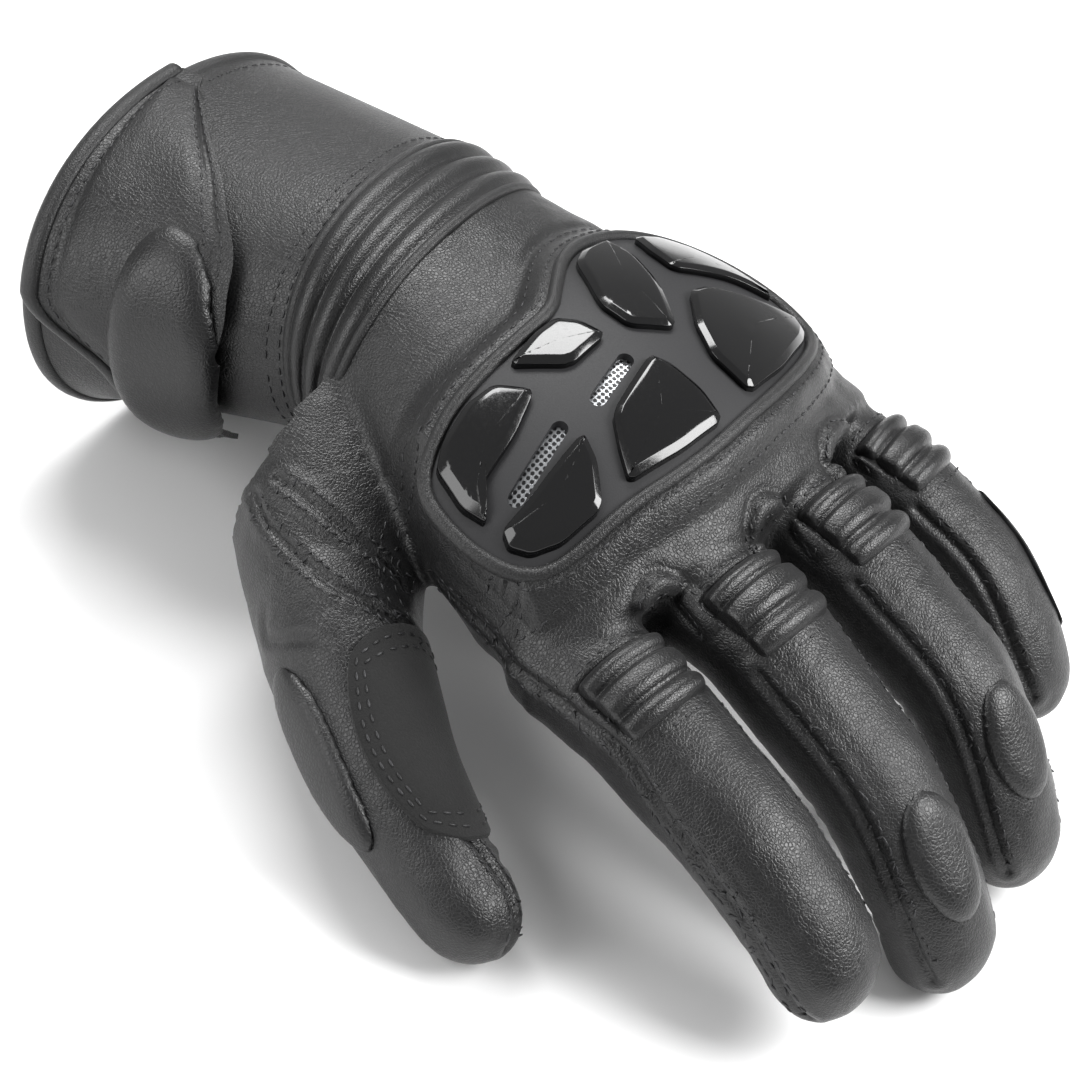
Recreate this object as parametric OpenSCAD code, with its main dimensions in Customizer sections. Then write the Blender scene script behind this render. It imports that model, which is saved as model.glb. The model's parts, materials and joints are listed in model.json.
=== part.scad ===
// Left-hand riding glove: leather shell, hard knuckle guard and gauntlet cuff.
// Axes: +X thumb side, +Y fingertips, +Z back of the hand. Millimetres.

/* [Hand] */
// Width across the knuckles, outside
knuckle_w = 122; // [112:1:150]
// Thickness across the knuckles, outside
knuckle_h = 29; // [28.5:0.5:36]
// Width of the palm at its middle, outside
palm_w = 94; // [84:1:116]
// Thickness of the palm at its middle, outside
palm_h = 54; // [46:1:66]
// Width of the wrist, outside
wrist_w = 78; // [68:1:94]
// Thickness of the wrist, outside
wrist_h = 58; // [50:1:70]
// Distance from the wrist crease to the middle knuckle
hand_l = 114; // [96:1:138]
// Leather thickness
leather = 1.4; // [1:0.1:2]
// Thickness of the knitted lining
lining = 0.7; // [0.4:0.1:1.2]

/* [Fingers] */
// Lengths of the index finger's three parts, base to tip
index_l = [33, 21, 18]; // [15:1:45]
// Lengths of the middle finger's three parts
middle_l = [39, 27, 20]; // [15:1:48]
// Lengths of the ring finger's three parts
ring_l = [37, 26, 20]; // [15:1:46]
// Lengths of the little finger's three parts
little_l = [27, 19, 17]; // [15:1:40]
// Width of the index and middle fingers
finger_w = 27; // [22:0.5:28]
// Thickness of the index and middle fingers
finger_h = 24; // [20:0.5:26]
// Lengths of the thumb's three parts
thumb_l = [28, 24, 18]; // [15:1:36]
// Width of the thumb at its base
thumb_w = 31; // [26:0.5:34]
// Thickness of the thumb at its base
thumb_h = 32; // [27:0.5:35]
// Length of the pleated panel over each knuckle
pleat_l = 12; // [10:1:14]
// Height of one pleat
pleat_h = 1.5; // [0.6:0.1:2]

/* [Cuff] */
// Width of the cuff's mouth, outside
mouth_w = 102; // [86:1:122]
// Height of the cuff's mouth, outside
mouth_h = 70; // [58:1:84]
// Length of the cuff from the wrist crease
cuff_l = 57; // [48:1:76]
// Width of the folded edge binding
binding_w = 4; // [3:0.5:6]
// Width of the gap that the wrist pleats fill
wrist_gap = 12; // [12:0.5:16]

/* [Knuckle guard] */
// Radius of the guard's dome
dome_r = 85; // [75:1:105]
// Height of the dome's top above the middle of the wrist
dome_top = 33; // [32.5:0.5:38]
// Thickness of the guard's matte web
web_t = 1.6; // [1.2:0.1:2.4]
// Height of the glossy plates above the web
plate_t = 2; // [1:0.1:3]
// Width of the ventilation slots
slot_w = 3.4; // [2.5:0.1:4.2]
// Width of the stitched leather rim round the guard
rim_w = 5; // [4:0.5:7]

/* [Fit] */
// Clearance between soft pieces on different bodies
soft_gap = 0.3; // [0.2:0.05:0.4]
// Clearance between the leather and what is sewn inside or onto it
sewn_gap = 0.45; // [0.4:0.05:0.6]

/* [Hidden] */
FINGERS = ["index", "middle", "ring", "little"];

// Place of the middle of the wrist crease: the glove's outline is then centred and stands on z = 0
wrist_place = [-15, -57, 51.3];

// ---- small helpers ----
function mix(a, b, t) = a + (b - a) * t;
function clamp01(t) = min(1, max(0, t));
function spin_x(p, a) = [p[0], p[1] * cos(a) - p[2] * sin(a), p[1] * sin(a) + p[2] * cos(a)];
function spin_y(p, a) = [p[0] * cos(a) + p[2] * sin(a), p[1], -p[0] * sin(a) + p[2] * cos(a)];
function spin_z(p, a) = [p[0] * cos(a) - p[1] * sin(a), p[0] * sin(a) + p[1] * cos(a), p[2]];
// Point of a rounded cross-section: w and h are half sizes, q is 1 for an ellipse and less for squarer corners
function section(a, w, h, q) = [
    w * sign(cos(a)) * pow(abs(cos(a)), q),
    h * sign(sin(a)) * pow(abs(sin(a)), q)
];

// Thick patch over a surface f(u, v, depth): depth 0 is the outer face of the leather.
// keep(i, j) leaves cells out, and wrap joins the two ends of v.
module patch(f, u, v, cells, depth, keep = function(i, j) true, wrap = false) {
    nu = cells[0];
    nv = cells[1];
    cols = wrap ? nv : nv + 1;
    layer = (nu + 1) * cols;
    here = function(i, j) i >= 0 && i < nu && (wrap || (j >= 0 && j < nv)) && keep(i, (j + nv) % nv);
    at = function(i, j, k) k * layer + i * cols + j % cols;
    points = [
        for (k = [0, 1]) for (i = [0:nu]) for (j = [0:cols - 1])
            f(mix(u[0], u[1], i / nu), mix(v[0], v[1], j / nv), depth(i / nu, j / nv)[k])
    ];
    cells_kept = [for (i = [0:nu - 1]) for (j = [0:nv - 1]) if (here(i, j)) [i, j]];
    faces = [
        for (c = cells_kept) let (i = c[0], j = c[1]) each [
            [at(i, j, 0), at(i, j + 1, 0), at(i + 1, j + 1, 0), at(i + 1, j, 0)],
            [at(i, j, 1), at(i + 1, j, 1), at(i + 1, j + 1, 1), at(i, j + 1, 1)],
            if (!here(i - 1, j)) [at(i, j, 0), at(i, j, 1), at(i, j + 1, 1), at(i, j + 1, 0)],
            if (!here(i + 1, j)) [at(i + 1, j, 0), at(i + 1, j + 1, 0), at(i + 1, j + 1, 1), at(i + 1, j, 1)],
            if (!here(i, j - 1)) [at(i, j, 0), at(i + 1, j, 0), at(i + 1, j, 1), at(i, j, 1)],
            if (!here(i, j + 1)) [at(i, j + 1, 0), at(i, j + 1, 1), at(i + 1, j + 1, 1), at(i + 1, j + 1, 0)]
        ]
    ];
    polyhedron(points, faces, convexity = 8);
}
// Depths of an even layer, and of a crowned pad
function layer_depth(outer, inner) = function(s, t) [outer, inner];
function crowned(base, edge, rise) = function(s, t)
    [-base - edge - rise * pow(sin(180 * s), 0.6) * pow(sin(180 * t), 0.6), -base];

// ---- hand ----
stub_l = 10;
knuckle_bow = 0.003;
knuckle_mid = 14;
arch_bow = 0.0031;
arch_mid = -8;
function knuckle_y(x) = hand_l - knuckle_bow * pow(x - knuckle_mid, 2);
function arch_z(x) = 1.8 - arch_bow * pow(x - arch_mid, 2);
function wrist_y(x) = 1 + wrist_gap + 0.17 * x;
// Half width, half height and squareness of the hand at share u of its length
palm_at = 0.35;
heel_at = 0.75;
function half_hand_w(u) =
    lookup(u, [[0, wrist_w], [palm_at, palm_w], [heel_at, mix(palm_w, knuckle_w, 0.5)], [1, knuckle_w]]) / 2;
function half_hand_h(u) =
    lookup(u, [[0, wrist_h], [palm_at, palm_h], [heel_at, mix(palm_h, knuckle_h, 0.4)], [1, knuckle_h]]) / 2;
function hand_squareness(u) = mix(0.9, 0.4, pow(u, 3));
function hand_at(u, a, d) =
    let (p = section(a, half_hand_w(u) - d, half_hand_h(u) - d, hand_squareness(u)))
    [p[0], mix(wrist_y(p[0]), knuckle_y(p[0]) - stub_l, u), p[1] + arch_z(p[0]) * pow(u, 1.5)];

// Opening that the thumb leaves by, as cell edges of the panels round it
thumb_u = [0.1, 0.6];
thumb_a = [285, 365];
in_thumb_rows = function(i) i >= 1 && i < 6;
skin = leather;
lining_from = leather + sewn_gap;
lined = lining_from + lining;

module back_panel() {
    color([0.07, 0.07, 0.08])
        patch(function(u, a, d) hand_at(u, a, d), [0, 1], [25, 165], [10, 21], layer_depth(0, skin));
}
module palm_panel() {
    color([0.09, 0.09, 0.1])
        patch(function(u, a, d) hand_at(u, a, d), [0, 1], [165, 325], [10, 24], layer_depth(0, skin),
            function(i, j) !(in_thumb_rows(i) && j >= 18));
}
module thumb_side_gusset() {
    color([0.08, 0.08, 0.09])
        patch(function(u, a, d) hand_at(u, a, d), [0, 1], [325, 385], [10, 9], layer_depth(0, skin),
            function(i, j) !(in_thumb_rows(i) && j < 6));
}
// The lining stops just short of the fingers' knuckle skins
liner_end = 0.9985;
module hand_liner() {
    color([0.2, 0.2, 0.22])
        patch(function(u, a, d) hand_at(u, a, d), [0, liner_end], [5, 365], [10, 54],
            layer_depth(lining_from, lined), function(i, j) !(in_thumb_rows(i) && j >= 42), wrap = true);
}

// ---- fingers and thumb: one tube rule ----
// name, width, height, base place, [turn, pitch, roll], bends, lengths, share of the girth left at the tip
// and inside the hand
function base_of(x) = [x, knuckle_y(x), arch_z(x)];
function roll_of(x) = 0.5 * atan(2 * arch_bow * (x - arch_mid));
digits = [
    ["index", finger_w, finger_h, base_of(46), [-3, 0, roll_of(46)], [16, 16, 14], index_l, 0.86, 0.8],
    ["middle", finger_w, finger_h, base_of(16), [0, 0, roll_of(16)], [24, 19, 17], middle_l, 0.86, 0.95],
    ["ring", finger_w - 1, finger_h - 1, base_of(-16),
        [3, 0, roll_of(-16)], [21, 25, 16], ring_l, 0.86, 0.945],
    ["little", finger_w - 3, finger_h - 3, base_of(-47),
        [10, 0, roll_of(-47)], [19, 22, 15], little_l, 0.86, 0.9],
    ["thumb", thumb_w, thumb_h, [66, 56, -24], [-30, -13, 70], [6, 12, 10], thumb_l, 0.66, 1]
];
THUMB = 4;
// Angle of the tube below its base direction at distance s from the knuckle
function bend_at(g, s) = let (b = g[5], l = g[6]) lookup(s, [
    [-7, 0], [7, b[0]], [l[0] - 6, b[0]], [l[0] + 6, b[0] + b[1]],
    [l[0] + l[1] - 5, b[0] + b[1]], [l[0] + l[1] + 5, b[0] + b[1] + b[2]]
]);
step = 2;
function total(g) = g[6][0] + g[6][1] + g[6][2];
// Centre line ahead of the knuckle as [s, y, z], and its mirror rule behind the knuckle
function path_of(g) = [
    for (i = 0, y = 0, z = 0; i * step <= total(g) + step;
        y = y + step * cos(bend_at(g, (i + 0.5) * step)),
        z = z - step * sin(bend_at(g, (i + 0.5) * step)), i = i + 1)
        [i * step, y, z]
];
paths = [for (g = digits) path_of(g)];
path_y = [for (p = paths) [for (q = p) [q[0], q[1]]]];
path_z = [for (p = paths) [for (q = p) [q[0], q[2]]]];
function out_of(g, p) =
    g[3] + spin_z(spin_x(spin_y(p, g[4][2]), g[4][1]), g[4][0]);
function girth(g, s) =
    let (l = total(g), r = 0.42 * g[1], x = clamp01((s - (l - r)) / r))
    mix(1, g[7], clamp01(s / (l - r))) * sqrt(max(0.0004, 1 - x * x));
function stub(g, s) = lookup(s, [[-stub_l, g[8]], [-stub_l + 4, 1]]);
function digit_at(k, s, a, d) =
    let (g = digits[k], e = girth(g, s) * stub(g, s), inset = d * min(1, 1.2 * girth(g, s)))
    let (p = section(a, max(0.2, g[1] / 2 * e - inset), max(0.2, g[2] / 2 * e - inset), 0.85))
    let (bend = s < 0 ? 0 : bend_at(g, s))
    let (y = s < 0 ? s : lookup(s, path_y[k]), z = s < 0 ? 0 : lookup(s, path_z[k]))
    out_of(g, [p[0], y + p[1] * sin(bend), z + p[1] * cos(bend)]);
half_pleat = pleat_l / 2;
function shell_from(k) = half_pleat + (k == THUMB ? 2 : 1);
function end_of(k) = total(digits[k]) - 0.02;

module digit_panel(k, a, cells, depth = layer_depth(0, skin), from = undef, to = undef) {
    patch(function(s, v, d) digit_at(k, s, v, d),
        [is_undef(from) ? shell_from(k) : from, is_undef(to) ? end_of(k) : to], a, cells, depth);
}
// Round a digit the panels meet at these columns: back, wall, front, wall
rows = 10;
finger_cols = [0, 4, 6, 11, 13];
thumb_cols = [0, 8, 14];
function col_a(k, c) = k == THUMB ? -12 + 360 / 14 * c : 35 + 360 / 13 * c;
module shell_panel(k, from, to) {
    digit_panel(k, [col_a(k, from), col_a(k, to)], [rows, to - from]);
}
module finger_back(k) color([0.07, 0.07, 0.08]) shell_panel(k, finger_cols[0], finger_cols[1]);
module finger_front(k) color([0.09, 0.09, 0.1]) shell_panel(k, finger_cols[2], finger_cols[3]);
module finger_sidewalls(k) color([0.06, 0.06, 0.07]) {
    shell_panel(k, finger_cols[1], finger_cols[2]);
    shell_panel(k, finger_cols[3], finger_cols[4]);
}
module digit_liner(k) color([0.2, 0.2, 0.22])
    patch(function(s, a, d) digit_at(k, s, a, d), [shell_from(k), end_of(k)], [col_a(k, 0), col_a(k, 0) + 360],
        [rows, k == THUMB ? 14 : 13], layer_depth(lining_from, lined), function(i, j) i < rows - 1, wrap = true);
module finger_stretch_panel(k) color([0.05, 0.05, 0.06])
    digit_panel(k, [45, 135], [12, 4],
        function(s, t) [-pleat_h * abs(sin(540 * s)), skin],
        shell_from(k) - pleat_l, shell_from(k) - soft_gap);
module finger_knuckle_skin(k) color([0.07, 0.07, 0.08])
    patch(function(s, a, d) digit_at(k, s, a, d), [shell_from(k) - 2 * pleat_l, shell_from(k) - soft_gap],
        [45, 405], [6, 16], layer_depth(0, skin), function(i, j) !(i >= 3 && j < 4), wrap = true);
module digit_pad(k, s, a, rise) color([0.06, 0.06, 0.07])
    digit_panel(k, a, [8, 6], crowned(0.1, 0.5, rise), s[0], s[1]);

// ---- thumb root: from the opening in the hand to the thumb's base ring ----
thumb_seam = -7;
function square_ring(t) = let (m = max(abs(sin(t)), abs(cos(t)))) [-sin(t) / m, -cos(t) / m];
function root_at(u, t, d) =
    let (q = square_ring(t))
    let (rim = hand_at(mix(thumb_u[0], thumb_u[1], (q[0] + 1) / 2), mix(thumb_a[0], thumb_a[1], (q[1] + 1) / 2), d))
    let (ring = digit_at(THUMB, thumb_seam, t, d))
    let (e = u * u * (3 - 2 * u), bulge = 4 * u * (1 - u) * 3)
    mix(rim, ring, e) + bulge * [0.6, -0.2, -0.3] * (1 + sin(t)) / 2;
module thumb_root() {
    color([0.08, 0.08, 0.09])
        patch(function(u, t, d) root_at(u, t, d), [0.02, 1], [0, 360], [4, 16], layer_depth(0, skin), wrap = true);
}
module thumb_base_skin() {
    color([0.07, 0.07, 0.08])
        patch(function(s, a, d) digit_at(THUMB, s, a, d), [thumb_seam + soft_gap, shell_from(THUMB) - soft_gap],
            [0, 360], [3, 16], layer_depth(0, skin), wrap = true);
}
module thumb_outer() color([0.08, 0.08, 0.09]) shell_panel(THUMB, thumb_cols[0], thumb_cols[1]);
module thumb_inner() color([0.07, 0.07, 0.08]) shell_panel(THUMB, thumb_cols[1], thumb_cols[2]);
module thumb_liner() digit_liner(THUMB);
module thumb_pad() digit_pad(THUMB, [9, 46], [55, 125], 1.6);
module thumb_patch() color([0.03, 0.03, 0.03])
    digit_panel(THUMB, [col_a(THUMB, 6), col_a(THUMB, 10)], [6, 4], layer_depth(-1.2, -0.3), 8.5, 44);

// ---- cuff ----
cuff_turn = 8.6;
cuff_pitch = 13.7;
function cuff_at(u, a, d) =
    let (e = pow(max(0, u), 0.8), w = mix(mouth_w, wrist_w, e) / 2, h = mix(mouth_h, wrist_h, e) / 2)
    let (p = section(a, w - d, h - d, 0.92))
    spin_z(spin_x([p[0] - 1.4, mix(-cuff_l, 1, u), p[1] - 1.8 * (1 - u)], cuff_pitch), cuff_turn);
module cuff_back() color([0.07, 0.07, 0.08])
    patch(function(u, a, d) cuff_at(u, a, d), [0, 1], [-15, 180], [7, 16], layer_depth(0, skin));
module cuff_palm() color([0.09, 0.09, 0.1])
    patch(function(u, a, d) cuff_at(u, a, d), [0, 1], [180, 345], [7, 14], layer_depth(0, skin));
module cuff_liner() color([0.2, 0.2, 0.22])
    patch(function(u, a, d) cuff_at(u, a, d), [0, 1], [0, 360], [5, 24], layer_depth(lining_from, lined), wrap = true);
module cuff_binding() color([0.04, 0.04, 0.04])
    patch(function(u, a, d) cuff_at(u, a, d), [-binding_w / cuff_l - 0.002, -0.002], [0, 360], [2, 30],
        layer_depth(-0.6, lined + 0.3), wrap = true);

// ---- closure flap over the cuff ----
flap_t = 1.6;
tape_t = 0.8;
loop_out = sewn_gap + tape_t;
hook_in = loop_out + soft_gap;
flap_in = hook_in + tape_t + 0.05;
flap_a = [-50, 92];
// Along the cuff, the flap runs between these shares of its length at each angle round it
flap_low = [[-50, 0.4], [-20, 0.36], [-6, 0.3], [7, 0.03], [92, 0.01]];
flap_high = [[-50, 0.62], [-19, 0.66], [13, 0.78], [38, 0.75], [61, 0.55], [83, 0.24], [92, 0.08]];
flap_cells = [6, 14];
function flap_at(s, t, d) = let (a = mix(flap_a[0], flap_a[1], t))
    cuff_at(mix(lookup(a, flap_low), lookup(a, flap_high), s), a, d);
module flap_part(rows, cols, depth) {
    patch(function(s, t, d) flap_at(s, t, d), rows / flap_cells[0], cols / flap_cells[1],
        [rows[1] - rows[0], cols[1] - cols[0]], depth);
}
module closure_flap() color([0.07, 0.07, 0.08])
    flap_part([0, flap_cells[0]], [0, flap_cells[1]], layer_depth(-flap_in - flap_t, -flap_in));
module hook_patch() color([0.12, 0.12, 0.12])
    flap_part([1, 5], [1, 5], layer_depth(-hook_in - tape_t, -hook_in));
module loop_patch() color([0.14, 0.14, 0.14])
    flap_part([1, 5], [1, 6], layer_depth(-loop_out, -sewn_gap));
// The folded edge runs along the mouth and turns down the free edge
module flap_binding() color([0.04, 0.04, 0.04])
    patch(function(s, t, d) let (a = mix(-20, 90, t))
            cuff_at(lookup(a, flap_low) - 0.004 - binding_w / cuff_l * (1 - s), a, d),
        [0, 1], [0, 1], [1, 12], layer_depth(-flap_in - flap_t - 0.5, -flap_in));
module wrist_pad() color([0.06, 0.06, 0.07])
    patch(function(u, a, d) cuff_at(u, a, d), [0.42, 0.62], [-44, 42], [6, 12],
        crowned(flap_in + flap_t + sewn_gap, 0.6, 5));

// ---- pleated wrist ----
function wrist_at(u, a, d) = mix(cuff_at(1, a, d), hand_at(0, a, d), u);
module wrist_stretch_band() color([0.05, 0.05, 0.06])
    patch(function(u, a, d) wrist_at(u, a, d), [0.03, 0.97], [0, 180], [12, 12],
        function(s, t) [-pleat_h * abs(sin(540 * s)), skin]);
module wrist_gather() color([0.07, 0.07, 0.08])
    patch(function(u, a, d) wrist_at(u, a, d), [0.03, 0.97], [180, 360], [6, 12],
        function(s, t) [-0.5 * abs(sin(360 * s)), skin]);

// ---- knuckle guard: outlines on the dome, seen from above ----
dome_mid = [0, 59];
dome_z = dome_top - dome_r;
outline = [
    [53, 57.5], [47, 53.5], [38, 50.5], [18, 49.5], [10, 48.5], [3, 43.5], [-6, 37.5], [-16, 34.5],
    [-31, 34.5], [-41, 38.5],
    [-45, 46.5], [-47, 56.5], [-47, 68.5], [-42, 78.5], [-21, 86.5], [6, 90.5], [19, 90.5], [31, 88.5],
    [46, 87.5], [52, 83.5],
    [55, 74.5], [55, 64.5]
];
plates = [
    [[51, 57.5], [47, 54.5], [39, 52.5], [33, 53.5], [29, 60.5], [38, 64.5], [48, 66.5], [52, 72.5], [53, 66.5]],
    [[29, 73.5], [31, 79.5], [36, 86.5], [45, 85.5], [50, 82.5], [52, 78.5], [51, 75.5], [45, 75.5]],
    [[28, 52.5], [19, 50.5], [13, 50.5], [10, 54.5], [9, 60.5], [20, 61.5]],
    [[-5, 40.5], [-11, 37.5], [-20, 36.5], [-19, 44.5], [-13, 56.5], [-5, 67.5], [3, 61.5], [3, 53.5]],
    [[-29, 37.5], [-36, 38.5], [-41, 44.5], [-44, 54.5], [-45, 65.5], [-37, 58.5], [-23, 52.5], [-25, 44.5]],
    [[-18, 60.5], [-24, 60.5], [-31, 64.5], [-43, 72.5], [-41, 76.5], [-36, 79.5], [-21, 84.5], [-7, 86.5],
        [-6, 76.5], [-10, 68.5]],
    [[6, 69.5], [4, 73.5], [3, 81.5], [4, 88.5], [16, 88.5], [29, 86.5], [26, 80.5], [22, 74.5]]
];
slots = [[[31, 69.5], [45, 73]], [[10, 67], [21, 70]]];
rim_t = 1;
module dome_shell(low, high) {
    translate([dome_mid[0], dome_mid[1], dome_z]) difference() {
        sphere(dome_r + high, $fn = 96);
        sphere(dome_r + low, $fn = 96);
    }
}
module dome_cut(low, high) {
    intersection() {
        dome_shell(low, high);
        linear_extrude(dome_top + 10) children();
    }
}
module slot_outline(s, w) {
    run = s[1] - s[0];
    translate(s[0]) rotate(atan2(run[1], run[0])) {
        translate([0, -w / 2]) square([norm(run), w]);
        circle(w / 2, $fn = 24);
        translate([norm(run), 0]) circle(w / 2, $fn = 24);
    }
}
module guard_web() color([0.1, 0.1, 0.1])
    dome_cut(-web_t, 0) difference() {
        polygon(outline);
        for (s = slots) slot_outline(s, slot_w);
    }
module guard_mesh() color([0.6, 0.6, 0.62])
    dome_cut(-web_t - 0.5, -web_t) for (s = slots) slot_outline(s, slot_w + 1);
module guard_plate(i) color([0.02, 0.02, 0.02])
    dome_cut(0, plate_t) polygon(plates[i - 1]);
module guard_rim() color([0.05, 0.05, 0.06])
    patch(function(s, t, d) rim_at(s, t, d), [0, 1], [0, len(outline)], [1, len(outline)],
        layer_depth(0, 1), wrap = true);
function rim_at(s, t, d) =
    let (n = len(outline), p = outline[t % n], q = p - dome_mid, r = norm(q))
    let (e = dome_mid + q * (r + soft_gap + rim_w * s) / r, drop = norm(e - dome_mid))
    let (on_dome = dome_z + sqrt(pow(dome_r, 2) - drop * drop) - 0.3)
    let (seat = hand_top(e[0], e[1]) + rim_t + 3 * sewn_gap)
    [e[0], e[1], max(seat, on_dome - 3 * s) - d * rim_t];
// Foam that fills the space between the back of the hand and the guard
function hand_top(x, y) =
    let (u = clamp01((y - wrist_y(x)) / (knuckle_y(x) - stub_l - wrist_y(x))))
    let (q = hand_squareness(u), across = min(1, abs(x) / half_hand_w(u)))
    half_hand_h(u) * pow(max(0.01, 1 - pow(across, 2 / q)), q / 2) + arch_z(x) * pow(u, 1.5);
function foam_at(s, t, d) =
    let (n = len(outline), p = dome_mid + (outline[t % n] - dome_mid) * s * 0.8, r = norm(p - dome_mid))
    let (high = dome_z + sqrt(pow(dome_r - web_t, 2) - r * r) - 0.8)
    [p[0], p[1], d == 0 ? high : min(high - 0.4, hand_top(p[0], p[1]) + 0.9)];
module guard_foam() color([0.15, 0.15, 0.15])
    patch(function(s, t, d) foam_at(s, t, d), [0.02, 1], [0, len(outline)], [5, len(outline)],
        layer_depth(0, 1), wrap = true);

module show(name) translate(wrist_place) children();

show("back_panel") back_panel();
show("palm_panel") palm_panel();
show("thumb_side_gusset") thumb_side_gusset();
show("hand_liner") hand_liner();
show("thumb_root") thumb_root();
show("guard_rim") guard_rim();
show("guard_foam") guard_foam();
show("guard_web") guard_web();
show("guard_mesh") guard_mesh();
for (i = [1:7]) show(str("guard_plate_", i)) guard_plate(i);
show("cuff_back") cuff_back();
show("cuff_palm") cuff_palm();
show("cuff_binding") cuff_binding();
show("cuff_liner") cuff_liner();
show("loop_patch") loop_patch();
show("closure_flap") closure_flap();
show("flap_binding") flap_binding();
show("wrist_pad") wrist_pad();
show("hook_patch") hook_patch();
show("wrist_stretch_band") wrist_stretch_band();
show("wrist_gather") wrist_gather();
for (k = [0:3]) {
    show(str(FINGERS[k], "_back")) finger_back(k);
    show(str(FINGERS[k], "_front")) finger_front(k);
    show(str(FINGERS[k], "_sidewalls")) finger_sidewalls(k);
    show(str(FINGERS[k], "_liner")) digit_liner(k);
    show(str(FINGERS[k], "_stretch_panel")) finger_stretch_panel(k);
    show(str(FINGERS[k], "_knuckle_skin")) finger_knuckle_skin(k);
}
show("middle_pad") digit_pad(1, [43, 68], [55, 125], 2);
show("ring_pad") digit_pad(2, [39, 62], [55, 125], 2);
show("little_side_patch") color([0.1, 0.1, 0.1])
    digit_panel(3, [150, 215], [6, 4], layer_depth(-1, -0.1), 10, 48);
show("thumb_outer") thumb_outer();
show("thumb_inner") thumb_inner();
show("thumb_liner") thumb_liner();
show("thumb_pad") thumb_pad();
show("thumb_patch") thumb_patch();
show("thumb_base_skin") thumb_base_skin();
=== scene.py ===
# %% [markdown]
# # A left-hand riding glove
# This lesson dresses a packed construction model in leather. The model gives the places of the
# knuckle joints and the hard parts. Here the soft shell, seams, pleats, pads and finishes are made.
# Lengths are in millimetres round the middle of the wrist, and turned to metres as a mesh is made.

# %% Load the construction model
import json
import math

import bmesh
import bpy
import numpy as np
from mathutils import Matrix, Vector
from mathutils.bvhtree import BVHTree

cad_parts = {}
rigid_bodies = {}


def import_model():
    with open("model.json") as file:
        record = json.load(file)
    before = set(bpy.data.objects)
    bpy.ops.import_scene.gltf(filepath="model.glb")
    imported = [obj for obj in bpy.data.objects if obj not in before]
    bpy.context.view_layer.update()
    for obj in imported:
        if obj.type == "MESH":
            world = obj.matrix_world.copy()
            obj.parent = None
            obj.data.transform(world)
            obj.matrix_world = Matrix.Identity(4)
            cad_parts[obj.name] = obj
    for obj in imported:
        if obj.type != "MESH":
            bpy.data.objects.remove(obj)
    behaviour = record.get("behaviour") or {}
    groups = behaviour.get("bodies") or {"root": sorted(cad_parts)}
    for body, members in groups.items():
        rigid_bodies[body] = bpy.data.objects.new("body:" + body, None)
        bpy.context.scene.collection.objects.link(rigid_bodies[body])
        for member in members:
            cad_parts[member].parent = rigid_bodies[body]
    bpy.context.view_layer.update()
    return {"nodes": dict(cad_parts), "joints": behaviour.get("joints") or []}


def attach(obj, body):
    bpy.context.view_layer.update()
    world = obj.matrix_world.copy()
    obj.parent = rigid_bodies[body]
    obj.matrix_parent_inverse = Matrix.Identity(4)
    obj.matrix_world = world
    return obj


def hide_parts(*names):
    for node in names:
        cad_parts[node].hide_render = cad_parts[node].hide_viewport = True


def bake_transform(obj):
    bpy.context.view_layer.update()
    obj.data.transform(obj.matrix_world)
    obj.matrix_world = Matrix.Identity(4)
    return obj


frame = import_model()
joints = {j["name"]: j for j in frame["joints"]}
MM = 0.001
WRIST_HINGE_AHEAD = 7
wrist = np.array(joints["wrist_flex"]["pos_m"]) / MM - [0, WRIST_HINGE_AHEAD, 0]

# %% [markdown]
# ## Small helpers
# A leather panel is a grid that is laid on a curved surface: `bmesh` makes the flat grid, and a rule
# moves each of its corners to the place that it has on the glove.


# %% Helpers for shapes
def mix(a, b, t):
    return a + (b - a) * t


def smooth(x, low, high):
    t = np.clip((x - low) / (high - low), 0, 1)
    return t * t * (3 - 2 * t)


def table(x, pairs):
    return np.interp(x, [p[0] for p in pairs], [p[1] for p in pairs])


def turned(points, axis, degrees):
    c, s = math.cos(math.radians(degrees)), math.sin(math.radians(degrees))
    x, y, z = points
    if axis == "x":
        return np.array([x, y * c - z * s, y * s + z * c])
    if axis == "y":
        return np.array([x * c + z * s, y, z * c - x * s])
    return np.array([x * c - y * s, x * s + y * c, z])


def rounded(angle, half_w, half_h, squareness):
    c, s = np.cos(np.radians(angle)), np.sin(np.radians(angle))
    return (
        half_w * np.sign(c) * np.abs(c) ** squareness,
        half_h * np.sign(s) * np.abs(s) ** squareness,
    )


def linked(mesh, name, body=None):
    piece = bpy.data.objects.new(name, mesh)
    bpy.context.scene.collection.objects.link(piece)
    if body:
        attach(piece, body)
    return piece


def places(mesh):
    co = np.empty(len(mesh.vertices) * 3)
    mesh.vertices.foreach_get("co", co)
    return co.reshape(-1, 3) / MM - wrist


def put(mesh, points):
    mesh.vertices.foreach_set("co", ((points + wrist) * MM).ravel())
    mesh.update()


def normals(mesh):
    n = np.empty(len(mesh.vertices) * 3)
    mesh.vertex_normals.foreach_get("vector", n)
    return n.reshape(-1, 3)


def smooth_mesh(bm, name):
    mesh = bpy.data.meshes.new(name)
    bm.to_mesh(mesh)
    bm.free()
    mesh.polygons.foreach_set("use_smooth", [True] * len(mesh.polygons))
    return mesh


def closed_up(piece):
    """Fills the piece's open ends and turns its faces outwards."""
    bm = bmesh.new()
    bm.from_mesh(piece.data)
    bmesh.ops.holes_fill(bm, edges=bm.edges, sides=0)
    bmesh.ops.recalc_face_normals(bm, faces=bm.faces)
    bm.to_mesh(piece.data)
    bm.free()


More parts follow.
